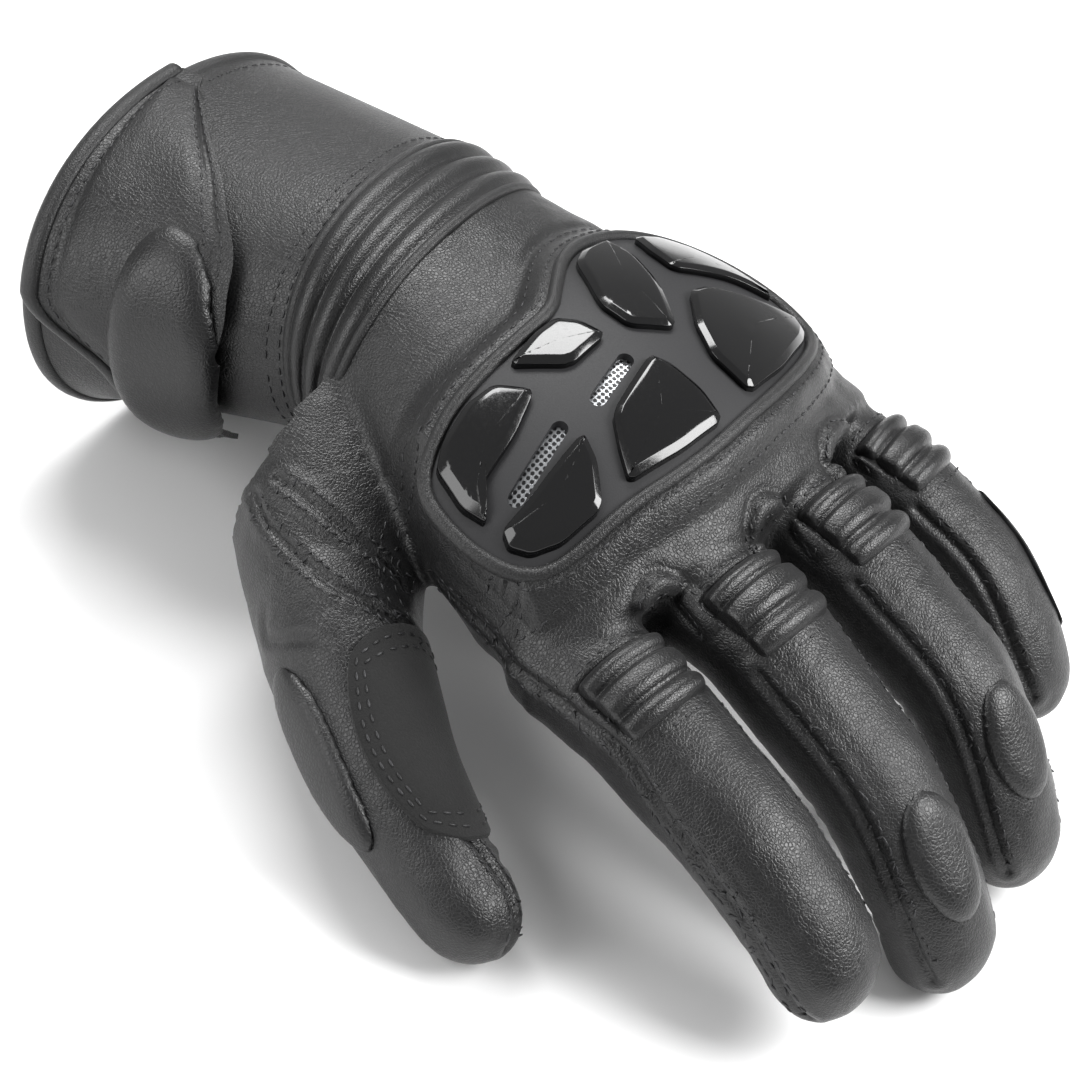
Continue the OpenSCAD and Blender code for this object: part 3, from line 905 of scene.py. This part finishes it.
flap_strip = roll(
    "flap_edge_binding",
    flap_edge,
    lambda v: AXIS[:, None] + 0 * v,
    flap_out,
    (2.2, 1.3),
    130,
    body="flap"
)
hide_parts("flap_binding")
print("flap from", FLAP_A[0], "to", FLAP_A[1], "degrees round the cuff")

# %% [markdown]
# ## Padded pieces
# The pads are leather over foam. Each starts as a low closed shell on its own ground, and a short
# cloth run with air pressure swells it against its sewn edge, as the foam does in the real pad.


# %% Pads by cloth
def crown(edge, width):
    return np.sqrt(np.clip(1 - (1 - np.clip(edge / width, 0, 1)) ** 2, 0, 1))


def pad_shell(name, ground, cells, low, high):
    """A closed lens over ground(u, v, proud): an oval inside the unit square."""

    def laid(u, v, rise):
        x, y = 2 * u - 1, 2 * v - 1
        disc = x * np.sqrt(1 - y * y / 2), y * np.sqrt(1 - x * x / 2)
        r = np.sqrt(np.clip(disc[0] ** 2 + disc[1] ** 2, 0, 1))
        return ground(disc[0] / 2 + 0.5, disc[1] / 2 + 0.5, low + rise * crown(1 - r, 0.45))

    top = grid_piece(name + "_top", lambda u, v: laid(u, v, high), cells, flip=True)
    base = grid_piece(name + "_base", lambda u, v: laid(u, v, 0), cells)
    bm = bmesh.new()
    for half in (top, base):
        bm.from_mesh(half.data)
        bpy.data.objects.remove(half)
    bmesh.ops.remove_doubles(bm, verts=bm.verts, dist=0.05 * MM)
    bmesh.ops.recalc_face_normals(bm, faces=bm.faces)
    return linked(smooth_mesh(bm, name), name)


def stuffed(piece, voxel, cap, pressure=4.0):
    """Swells a pad with air pressure, and lets no point move further than cap millimetres."""
    modified(piece, "REMESH", mode="VOXEL", voxel_size=voxel * MM, use_smooth_shade=True)
    start = places(piece.data)
    cloth = piece.modifiers.new("cloth", "CLOTH")
    cloth.settings.use_pressure = True
    cloth.settings.uniform_pressure_force = pressure
    cloth.settings.effector_weights.gravity = 0
    cloth.settings.quality = 5
    cloth.point_cache.frame_end = 14
    for moment in range(1, 15):
        bpy.context.scene.frame_set(moment)
    applied(piece)
    bpy.context.scene.frame_set(1)
    move = places(piece.data) - start
    far = np.maximum(np.linalg.norm(move, axis=1), 1e-9)
    put(piece.data, start + move * (np.minimum(far, cap) / far)[:, None])
    modified(piece, "SMOOTH", factor=0.5, iterations=2)
    return modified(piece, "SUBSURF", levels=1, render_levels=1)


def wrist_ground(u, v, k):
    return cuff_at(mix(0.27, 0.72, u) + 0.05 * np.sin(3 * v), mix(-48, 44, v), k)


def digit_ground(name, s, a):
    """A pad's rule on a digit, from s[0] to s[1] along it and a[0] to a[1] degrees round it."""
    return lambda u, v, k: on_skin(bare, digit_at(DIGITS[name], mix(*s, u), mix(*a, v)), k)


PADS = {
    "wrist_pad_leather": (
        wrist_ground, (26, 44), FLAP_OUT - 0.5, 4.2, 1.3, 1.2, "flap", "wrist_pad"
    ),
    "middle_pad_leather": (
        digit_ground("middle", (42, 68), (44, 124)),
        (26, 22),
        -0.3,
        2.2,
        0.7,
        0.6,
        "middle",
        "middle_pad"
    ),
    "ring_pad_leather": (
        digit_ground("ring", (38, 62), (42, 122)), (26, 22), -0.3, 2.2, 0.7, 0.6, "ring", "ring_pad"
    ),
    "thumb_pad_leather": (
        digit_ground("thumb", (3, 42), (56, 108)),
        (34, 22),
        -0.3,
        2.8,
        0.8,
        0.8,
        "thumb",
        "thumb_pad"
    ),
}
for name, (ground, cells, low, rise, voxel, cap, rider, node_name) in PADS.items():
    pad = stuffed(pad_shell(name, ground, cells, low, rise), voxel, cap)
    if rider == "flap":
        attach(pad, "flap")
    else:
        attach(pad, "thumb" if rider == "thumb" else rider + "_finger")
    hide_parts(node_name)
    print(name, len(pad.data.polygons), "faces")


# %% Sewn patches
def patch_place(digit, s, a, proud, corner):
    """A rule for a flat patch with rounded corners on a digit."""

    def laid(u, v):
        x, y = 2 * u - 1, 2 * v - 1
        across = x * np.sqrt(1 - corner * y * y) / 2 + 0.5
        around = y * np.sqrt(1 - corner * x * x) / 2 + 0.5
        return on_skin(bare, digit_at(DIGITS[digit], mix(*s, across), mix(*a, around)), proud)

    return laid


thumb_suede_place = patch_place("thumb", (3, 49), (128, 262), 0.8, 0.42)
thumb_suede = grid_piece("thumb_suede", thumb_suede_place, (70, 70), thick=1.3, rim=0.3)
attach(thumb_suede, "thumb")
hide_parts("thumb_patch")
little_knit = grid_piece(
    "little_knit",
    patch_place("little", (15, 47), (112, 214), 0.8, 0.3),
    (46, 40),
    thick=1.1,
    rim=0.3
)
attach(little_knit, "little_finger")
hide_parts("little_side_patch")
print("patches:", thumb_suede.name, little_knit.name)

# %% [markdown]
# ## The knuckle guard
# Seven glossy plates stand on a matt web, each with a crisp bevelled edge, like cut stones. A plate
# is a round grid on the guard's sphere: its rings step up the side, over the bevel and to the middle.

# %% Guard plates and lip
PLATES = [
    [
        [51, 57.5], [47, 54.5], [39, 52.5], [33, 53.5], [29, 60.5], [38, 64.5], [48, 66.5],
        [52, 72.5], [53, 66.5]
    ],
    [
        [29, 73.5], [31, 79.5], [36, 86.5], [45, 85.5], [50, 82.5], [52, 78.5], [51, 75.5],
        [45, 75.5]
    ],
    [[28, 52.5], [19, 50.5], [13, 50.5], [10, 54.5], [9, 60.5], [20, 61.5]],
    [
        [-5, 40.5], [-11, 37.5], [-20, 36.5], [-19, 44.5], [-13, 56.5], [-5, 67.5], [3, 61.5],
        [3, 53.5]
    ],
    [
        [-29, 37.5], [-36, 38.5], [-41, 44.5], [-44, 54.5], [-45, 65.5], [-37, 58.5], [-23, 52.5],
        [-25, 44.5]
    ],
    [
        [-18, 60.5], [-24, 60.5], [-31, 64.5], [-43, 72.5], [-41, 76.5], [-36, 79.5], [-21, 84.5],
        [-7, 86.5], [-6, 76.5], [-10, 68.5]
    ],
    [[6, 69.5], [4, 73.5], [3, 81.5], [4, 88.5], [16, 88.5], [29, 86.5], [26, 80.5], [22, 74.5]],
]


def inward(ring, depth):
    """The ring moved in by a depth, along the bisectors of its edges."""
    run = np.roll(ring, -1, 0) - np.roll(ring, 1, 0)
    run /= np.linalg.norm(run, axis=1)[:, None]
    side = np.stack([-run[:, 1], run[:, 0]], 1)
    if (side * (ring.mean(0) - ring)).sum() < 0:
        side = -side
    return ring + side * depth


for i, corners in enumerate(PLATES):
    ring = corner_cut(corners, 3, 0.12)
    ring = curve_through(ring, 0.5, closed=True)[:-1]
    count = len(ring)
    steps = [(0.0, -0.3), (0.0, 1.25), (0.12, 1.38), (1.25, 1.95), (1.4, PLATE_T)]
    loops_in = [np.column_stack([inward(ring, d), dome(inward(ring, d), h)]) for d, h in steps]
    last = inward(ring, 1.4)
    heart = ring.mean(0)
    for k in (0.9, 0.75, 0.5, 0.25, 0.08):
        q = heart + (last - heart) * k
        loops_in.append(np.column_stack([q, dome(q, PLATE_T)]))
    stack = np.array(loops_in)

    def plate_rule(u, v, stack=stack, count=count):
        row = np.rint(u * (len(stack) - 1)).astype(int)
        col = np.rint(v * count).astype(int) % count
        return stack[row, col].T

    plate = grid_piece(f"plate_{i + 1}", plate_rule, (len(stack) - 1, count), weld=True)
    closed_up(plate)
    plate.data.polygons.foreach_set("use_smooth", [True] * len(plate.data.polygons))
    keep = plate.modifiers.new("crisp bevel", "WEIGHTED_NORMAL")
    keep.keep_sharp = True
    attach(plate, "hand")
    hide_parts(f"guard_plate_{i + 1}")

lip_line = curve_through(guard_ring, 0.7, closed=True)
lip_line = inward(lip_line[:-1], -0.9)


def lip_centre(v):
    p = lip_line[np.rint(v * len(lip_line)).astype(int) % len(lip_line)]
    return np.array([p[:, 0], p[:, 1], dome(p, 0.1)])


def lip_side(v):
    k = np.rint(v * len(lip_line)).astype(int)
    run = lip_line[(k + 1) % len(lip_line)] - lip_line[(k - 1) % len(lip_line)]
    run /= np.linalg.norm(run, axis=1)[:, None]
    return np.array([run[:, 1], -run[:, 0], 0 * v])


lip = roll(
    "guard_lip",
    lip_centre,
    lip_side,
    lambda v: np.array([0 * v, 0 * v, 1 + 0 * v]),
    (1.5, 1.7),
    len(lip_line),
    body="hand"
)
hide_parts("guard_rim", "guard_foam")
print(len(PLATES), "plates and the lip")

# %% [markdown]
# ## Stitches
# Seams are sewn with thick bonded thread. Each stitch is a tiny low ball drawn out along its seam,
# with a gap after it, and the stitches of one body are joined in one mesh.


# %% Rows of stitches
STITCH, STITCH_GAP, THREAD = 2.1, 1.0, 0.3
CAST_FROM = 60
STITCHES_IN_A_BATCH = 20
sewn = {}


def stitch_row(tree, line, offset, owner, sink=0.02, closed=False):
    """Stitches beside a line on a surface, offset along it to one side; owner names their mesh."""
    spots, ups = laid_on(tree, curve_through(line, 0.5, closed=closed))
    run = np.gradient(spots, axis=0)
    run /= np.maximum(1e-9, np.linalg.norm(run, axis=1))[:, None]
    side = np.cross(ups, run)
    spots, ups = laid_on(tree, spots + side * offset)
    far = np.concatenate([[0], np.cumsum(np.linalg.norm(np.diff(spots, axis=0), axis=1))])
    for at in np.arange(STITCH, far[-1] - STITCH / 2, STITCH + STITCH_GAP):
        i = int(np.searchsorted(far, at))
        a, b = spots[max(0, i - 1)], spots[min(len(spots) - 1, i + 1)]
        ahead = (b - a) / max(1e-9, np.linalg.norm(b - a))
        up = ups[i] - ahead * (ups[i] @ ahead)
        up /= np.linalg.norm(up)
        across = np.cross(up, ahead)
        frame_of = np.stack([ahead * STITCH / 2, across * THREAD, up * THREAD * 0.8], 1)
        middle = spots[i] + up * sink
        key = owner if isinstance(owner, str) else owner(spots[i])
        sewn.setdefault(key, []).append((middle, frame_of))


def by_label(p):
    return "stitches_" + LABELS[int(labels_of(p[None])[0])]


def leather_height(p):
    """How high the leather lies under a place, or the place's own height where there is none."""
    above = Vector((np.append(p[:2], CAST_FROM) + wrist) * MM)
    hit = whole.ray_cast(above, Vector((0, 0, -1)))[0] or Vector((0, 0, (p[2] + wrist[2]) * MM))
    return hit.z / MM - wrist[2]


for name, line in SEAMS.items():
    rows = (-2.2, 2.2) if name in (
        "hand_side", "thumb_root", "thumb_tip"
    ) else (2.2,) if "near" in name else (-2.2,)
    for row in rows:
        stitch_row(whole, seam_lines[name][::6], row, by_label)
for line in WELTS.values():
    for row in (-3.4, 3.4):
        stitch_row(whole, line, row, by_label)
for row in (2.2, 5.2):
    ring = inward(corner_cut(OUTLINE, 2), -row - 1.4)
    line = np.column_stack([ring, dome(ring, 0.6)])
    line[:, 2] = [leather_height(p) for p in line]
    stitch_row(whole, line[::2], 0, by_label, closed=True)
for name in FINGERS:
    g = DIGITS[name]
    for s, a0, a1 in ((-8.0, 44, 136), (9.2, 44, 136)):
        stitch_row(whole, on_digit(name, [(s, mix(a0, a1, k / 8)) for k in range(9)]), 0, by_label)
cuff_tree, flap_tree = tree_of(cuff), tree_of(flap)
for u, low, high in ((0.955, 0, 360), (0.905, 0, 360), (0.07, 95, 300)):
    line = cuff_at(u, np.arange(low, high + 1, 8.0), 0.3).T
    stitch_row(cuff_tree, line, 0, "stitches_cuff")
for row, t0, t1 in ((0.93, 0.02, 0.985), (0.84, 0.02, 0.97)):
    line = flap_at(row, np.linspace(t0, t1, 24), FLAP_OUT).T
    stitch_row(flap_tree, line, 0, "stitches_flap")
around = np.arange(-16, 90, 5.0)
line = cuff_at(eased(around, FLAP_LOW) + 0.055, around, FLAP_OUT).T
stitch_row(flap_tree, line, 0, "stitches_flap")
thumb_tree = tree_of(thumb_suede)
for inset in (0.05, 0.11):
    w = np.linspace(0, 2 * np.pi, 40, endpoint=False)
    k = (0.5 - inset) / np.maximum(abs(np.cos(w)), abs(np.sin(w))) ** 0.8
    line = thumb_suede_place(0.5 + np.cos(w) * k, 0.5 + np.sin(w) * k).T
    stitch_row(thumb_tree, line, 0, "stitches_thumb_patch", closed=True)
for name, spots in sewn.items():
    bm = bmesh.new()
    for first in range(0, len(spots), STITCHES_IN_A_BATCH):
        few = bmesh.new()
        for middle, axes in spots[first : first + STITCHES_IN_A_BATCH]:
            place = Matrix(axes.tolist()).to_4x4()
            place.translation = Vector(middle + wrist)
            bmesh.ops.create_uvsphere(
                few, u_segments=6, v_segments=4, radius=1, matrix=Matrix.Scale(MM, 4) @ place
            )
        batch = bpy.data.meshes.new("batch")
        few.to_mesh(batch)
        few.free()
        bm.from_mesh(batch)
        bpy.data.meshes.remove(batch)
    bmesh.ops.recalc_face_normals(bm, faces=bm.faces)
    piece = linked(smooth_mesh(bm, name), name)
    owner = name.replace("stitches_", "")
    if owner in LABELS:
        bends_with(piece, owner)
    else:
        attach(piece, {"thumb_patch": "thumb"}.get(owner, owner))
print({n: len(s) for n, s in sewn.items()})

# %% [markdown]
# ## Leather and the other finishes
# Black goatskin is dyed through and finished with a thin satin coat, so light makes a broad soft
# sheen over a fine pebbled grain. The grain is cells about a millimetre wide, drawn by a Voronoi
# pattern with warped edges, and slower noise adds the stretch lines and rubbed places.


# %% Node helper and colours
def linear(code):
    """sRGB hex to linear light."""
    c = np.array([int(code[i : i + 2], 16) for i in (1, 3, 5)]) / 255
    return (*np.where(c <= 0.04045, c / 12.92, ((c + 0.055) / 1.055) ** 2.4).tolist(), 1.0)


def add(tree, kind, inputs=None, **settings):
    """Adds a node; inputs are values or sockets by name or number."""
    node = tree.nodes.new("ShaderNode" + kind)
    for key, value in settings.items():
        setattr(node, key, value)
    for key, value in (inputs or {}).items():
        if isinstance(value, bpy.types.NodeSocket):
            tree.links.new(value, node.inputs[key])
        else:
            node.inputs[key].default_value = value
    return node


def two_tone(tree, shader, share, dark, light):
    """The shader's colour runs from dark to light with the share."""
    ends = {"Factor": share, "A": linear(dark), "B": linear(light)}
    colour = add(tree, "Mix", ends, data_type="RGBA")
    tree.links.new(colour.outputs["Result"], shader.inputs["Base Color"])


def bumped(tree, shader, height, strength, distance):
    """Shades the height, with distance in metres, without moving the mesh."""
    values = {"Height": height, "Strength": strength, "Distance": distance}
    bump = add(tree, "Bump", values)
    tree.links.new(bump.outputs["Normal"], shader.inputs["Normal"])


def finish_called(name):
    material = bpy.data.materials.new(name)
    material.use_nodes = True
    tree = material.node_tree
    return material, tree, tree.nodes["Principled BSDF"], add(tree, "TexCoord").outputs["Object"]


def dress(material, *pieces):
    for piece in pieces:
        piece.data.materials.clear()
        piece.data.materials.append(material)


def per_metre(size_mm):
    return 1000 / size_mm


# %% Goatskin
def goatskin(name, grain_mm, dark, light, rough, grain_depth, crease_depth):
    """Full-grain leather, drum-dyed and spray-finished: pebbles, fine creases, a satin coat."""
    material, tree, skin_shader, at = finish_called(name)
    warp = add(tree, "TexNoise", {"Vector": at, "Scale": per_metre(2.5), "Detail": 2})
    bent = add(tree, "VectorMath", {0: warp.outputs["Color"], "Scale": 0.0007}, operation="SCALE")
    moved = add(
        tree, "VectorMath", {0: at, 1: bent.outputs["Vector"]}, operation="ADD"
    ).outputs["Vector"]
    pebble = add(
        tree,
        "TexVoronoi",
        {"Vector": moved, "Scale": per_metre(grain_mm)},
        feature="DISTANCE_TO_EDGE"
    )
    pebble_top = add(
        tree, "MapRange", {"Value": pebble.outputs["Distance"], "From Min": 0.0, "From Max": 0.22}
    )
    crease = add(
        tree,
        "TexNoise",
        {"Vector": moved, "Scale": per_metre(6), "Detail": 5, "Roughness": 0.62, "Distortion": 0.8}
    )
    fold = add(tree, "Math", {0: crease.outputs["Fac"], 1: 0.5}, operation="SUBTRACT")
    fold = add(tree, "Math", {0: fold.outputs["Value"]}, operation="ABSOLUTE")
    fold = add(
        tree, "MapRange", {"Value": fold.outputs["Value"], "From Min": 0.0, "From Max": 0.06}
    )
    rub = add(tree, "TexNoise", {"Vector": at, "Scale": per_metre(22), "Detail": 3})
    tone = add(tree, "MapRange", {"Value": rub.outputs["Fac"], "From Min": 0.35, "From Max": 0.65})
    two_tone(tree, skin_shader, tone.outputs["Result"], dark, light)
    gloss = add(
        tree,
        "MapRange",
        {
            "Value": rub.outputs["Fac"], "From Min": 0.3, "From Max": 0.7, "To Min": rough - 0.05,
            "To Max": rough + 0.07
        }
    )
    valley = add(
        tree, "MapRange", {"Value": pebble_top.outputs["Result"], "To Min": 0.1, "To Max": 0.0}
    )
    gloss = add(
        tree, "Math", {0: gloss.outputs["Result"], 1: valley.outputs["Result"]}, operation="ADD"
    )
    tree.links.new(gloss.outputs["Value"], skin_shader.inputs["Roughness"])
    fine = add(
        tree,
        "Bump",
        {"Height": pebble_top.outputs["Result"], "Strength": grain_depth, "Distance": 0.00012}
    )
    deep = add(
        tree,
        "Bump",
        {
            "Height": fold.outputs["Result"], "Strength": crease_depth, "Distance": 0.00025,
            "Normal": fine.outputs["Normal"]
        }
    )
    tree.links.new(deep.outputs["Normal"], skin_shader.inputs["Normal"])
    skin_shader.inputs["Specular IOR Level"].default_value = 0.5
    skin_shader.inputs["Sheen Weight"].default_value = 0.05
    return material


shell_leather = goatskin("goatskin_spray_finished", 0.75, "#0A0A0B", "#101011", 0.36, 0.42, 0.16)
soft_leather = goatskin("goatskin_pleated_soft", 0.7, "#080809", "#0D0D0E", 0.32, 0.3, 0.1)
pad_leather = goatskin("goatskin_over_foam", 0.9, "#0A0A0B", "#101011", 0.35, 0.35, 0.1)
edge_leather = goatskin("goatskin_folded_edge", 0.6, "#0A0A0B", "#101011", 0.42, 0.4, 0.1)
dress(shell_leather, *leather.values(), cuff, flap)
dress(soft_leather, band, *[bpy.data.objects[n + "_pleats"] for n in FINGERS])
dress(pad_leather, *[bpy.data.objects[n] for n in PADS])
dress(
    edge_leather,
    mouth,
    flap_strip,
    lip,
    bpy.data.objects["wrist_seam_cuff"],
    bpy.data.objects["wrist_seam_hand"]
)
print("leathers:", [m.name for m in (shell_leather, soft_leather, pad_leather, edge_leather)])

# %% [markdown]
# ## Plastics and metal
# The plates are injection moulded and polished: black, hard and mirror-like, with the faint waviness
# of a moulding. The web under them is left with a spark-eroded matt skin. The slots show steel mesh.

# %% Guard finishes
gloss, tree, shader, at = finish_called("abs_polished_black")
wave = add(tree, "TexNoise", {"Vector": at, "Scale": per_metre(9), "Detail": 1})
scuff = add(
    tree, "TexNoise", {"Vector": at, "Scale": per_metre(0.6), "Detail": 3, "Distortion": 1.5}
)
rough = add(
    tree,
    "MapRange",
    {
        "Value": scuff.outputs["Fac"], "From Min": 0.45, "From Max": 0.75, "To Min": 0.09,
        "To Max": 0.2
    }
)
tree.links.new(rough.outputs["Result"], shader.inputs["Roughness"])
bumped(tree, shader, wave.outputs["Fac"], 0.12, 0.0004)
shader.inputs["Base Color"].default_value = linear("#0A0A0B")
shader.inputs["IOR"].default_value = 1.53
dress(gloss, *[bpy.data.objects[f"plate_{i + 1}"] for i in range(len(PLATES))])

matt, tree, shader, at = finish_called("abs_spark_eroded")
grit = add(tree, "TexNoise", {"Vector": at, "Scale": per_metre(0.35), "Detail": 2})
rough = add(tree, "MapRange", {"Value": grit.outputs["Fac"], "To Min": 0.5, "To Max": 0.72})
tree.links.new(rough.outputs["Result"], shader.inputs["Roughness"])
bumped(tree, shader, grit.outputs["Fac"], 0.35, 0.00006)
shader.inputs["Base Color"].default_value = linear("#1B1B1D")
dress(matt, frame["nodes"]["guard_web"])

# Pressed steel mesh: round holes 1.1 mm apart in a 60-degree layout, bright between the holes
mesh_steel, tree, shader, at = finish_called("steel_pressed_mesh")
flat = add(tree, "Mapping", {"Vector": at, "Scale": (1, 1, 0)})
holes = add(
    tree,
    "TexVoronoi",
    {"Vector": flat.outputs["Vector"], "Scale": per_metre(1.1), "Randomness": 0.0},
    voronoi_dimensions="2D"
)
wire = add(
    tree, "MapRange", {"Value": holes.outputs["Distance"], "From Min": 0.3, "From Max": 0.42}
)
two_tone(tree, shader, wire.outputs["Result"], "#141416", "#B9BBBE")
tree.links.new(wire.outputs["Result"], shader.inputs["Metallic"])
bumped(tree, shader, wire.outputs["Result"], 0.8, 0.0002)
shader.inputs["Roughness"].default_value = 0.33
dress(mesh_steel, frame["nodes"]["guard_mesh"])
print("guard finishes:", gloss.name, matt.name, mesh_steel.name)

# %% [markdown]
# ## Cloths, suede and thread
# Suede has a nap that scatters light, so it is rougher and has a little sheen. The lining is a fine
# rib knit, the patch on the little finger a coarse knit, and the tapes are hooks and brushed loops.


# %% Woven and napped finishes
def napped(name, dark, light, size_mm, rough, sheen, depth):
    """Fibres that stand up: speckled colour, high roughness, soft sheen."""
    material, tree, shader, at = finish_called(name)
    nap = add(
        tree, "TexNoise", {"Vector": at, "Scale": per_metre(size_mm), "Detail": 4, "Roughness": 0.7}
    )
    cloud = add(tree, "TexNoise", {"Vector": at, "Scale": per_metre(12), "Detail": 2})
    share = add(
        tree, "Math", {0: nap.outputs["Fac"], 1: cloud.outputs["Fac"]}, operation="MULTIPLY"
    )
    share = add(
        tree, "MapRange", {"Value": share.outputs["Value"], "From Min": 0.12, "From Max": 0.4}
    )
    two_tone(tree, shader, share.outputs["Result"], dark, light)
    bumped(tree, shader, nap.outputs["Fac"], depth, 0.0003)
    shader.inputs["Roughness"].default_value = rough
    shader.inputs["Sheen Weight"].default_value = sheen
    return material


def knitted(name, dark, light, rib_mm, rough, depth):
    """Rows of loops: ribs one way, crossed by the pitch of the loops."""
    material, tree, shader, at = finish_called(name)
    rib = add(
        tree,
        "TexWave",
        {"Vector": at, "Scale": per_metre(rib_mm) / 20, "Distortion": 0.4},
        bands_direction="X"
    )
    loop = add(
        tree,
        "TexWave",
        {"Vector": at, "Scale": per_metre(rib_mm) / 20, "Distortion": 0.4},
        bands_direction="Y"
    )
    knot = add(tree, "Math", {0: rib.outputs["Fac"], 1: loop.outputs["Fac"]}, operation="MULTIPLY")
    two_tone(tree, shader, knot.outputs["Value"], dark, light)
    bumped(tree, shader, knot.outputs["Value"], depth, 0.0003)
    shader.inputs["Roughness"].default_value = rough
    return material


suede = napped("calf_suede_brushed", "#060606", "#131313", 0.5, 0.92, 0.12, 0.7)
dress(suede, thumb_suede)
dress(knitted("aramid_coarse_knit", "#0C0C0D", "#2A2A2C", 1.2, 0.85, 0.8), little_knit)
dress(knitted("polyester_rib_knit", "#202123", "#34363A", 0.9, 0.88, 0.5), lining)
dress(napped("nylon_hook_tape", "#0A0A0A", "#1E1E1F", 0.9, 0.6, 0.0, 1.0), hooks)
dress(napped("nylon_loop_tape", "#101011", "#242426", 0.6, 0.9, 0.2, 0.9), loops)
thread, tree, shader, at = finish_called("polyester_bonded_thread")
twist = add(
    tree, "TexWave", {"Vector": at, "Scale": per_metre(0.4) / 20}, bands_direction="DIAGONAL"
)
two_tone(tree, shader, twist.outputs["Fac"], "#121213", "#262628")
shader.inputs["Roughness"].default_value = 0.48
dress(thread, *[bpy.data.objects[n] for n in sewn])
print("cloths:", suede.name, "thread:", thread.name)

# %% [markdown]
# ## Camera, light and floor
# The camera looks down on the thumb side from far away, through a long lens, so the glove keeps its
# true proportions. Large soft lights give black leather its broad sheen.

# %% Camera, lights and floor
CAMERA_AT = np.array([396.1, 298.1, 378.65])
CAMERA_LOOKS = Vector((-0.6366, -0.3947, -0.6625))
CAMERA_RIGHT = Vector((-0.6548, 0.7304, 0.1941))
LENS = 96.4
camera = bpy.data.objects.new("camera", bpy.data.cameras.new("camera"))
bpy.context.scene.collection.objects.link(camera)
camera.data.lens = LENS
camera.data.sensor_width = 36
camera.data.clip_start = 0.01
up = CAMERA_RIGHT.cross(CAMERA_LOOKS).normalized()
turn = Matrix((CAMERA_RIGHT, up, -CAMERA_LOOKS)).transposed().to_4x4()
camera.matrix_world = Matrix.Translation(Vector((CAMERA_AT + wrist) * MM)) @ turn
bpy.context.scene.camera = camera


def soft_light(name, at, aim, size, watts, colour=(1, 1, 1)):
    light = bpy.data.objects.new(name, bpy.data.lights.new(name, "AREA"))
    bpy.context.scene.collection.objects.link(light)
    light.data.shape = "RECTANGLE"
    light.data.size, light.data.size_y = size
    light.data.energy = watts
    light.data.color = colour
    light.location = at
    light.rotation_euler = (Vector(aim) - Vector(at)).to_track_quat("-Z", "Y").to_euler()
    return light


soft_light("key", (-0.35, 0.55, 0.62), (0, 0.02, 0.04), (0.45, 0.45), 10)
soft_light("fill", (0.75, -0.35, 0.5), (0, -0.02, 0.03), (0.5, 0.7), 5)
soft_light("top", (-0.25, -0.45, 0.8), (0, -0.05, 0.05), (0.6, 0.3), 8)
bpy.context.scene.view_settings.view_transform = "Standard"
world = bpy.data.worlds.new("studio")
bpy.context.scene.world = world
world.use_nodes = True
world.node_tree.nodes["Background"].inputs["Color"].default_value = (1, 1, 1, 1)
world.node_tree.nodes["Background"].inputs["Strength"].default_value = 0.42
bm = bmesh.new()
bmesh.ops.create_grid(bm, x_segments=1, y_segments=1, size=6)
floor_mesh = bpy.data.meshes.new("floor")
bm.to_mesh(floor_mesh)
bm.free()
floor = linked(floor_mesh, "floor")
floor.location.z = -0.0005
paper = bpy.data.materials.new("white_paper")
paper.use_nodes = True
paper.node_tree.nodes["Principled BSDF"].inputs["Base Color"].default_value = (0.9, 0.9, 0.9, 1)
paper.node_tree.nodes["Principled BSDF"].inputs["Roughness"].default_value = 0.9
floor.data.materials.append(paper)
print("camera at", [round(c, 3) for c in camera.location])
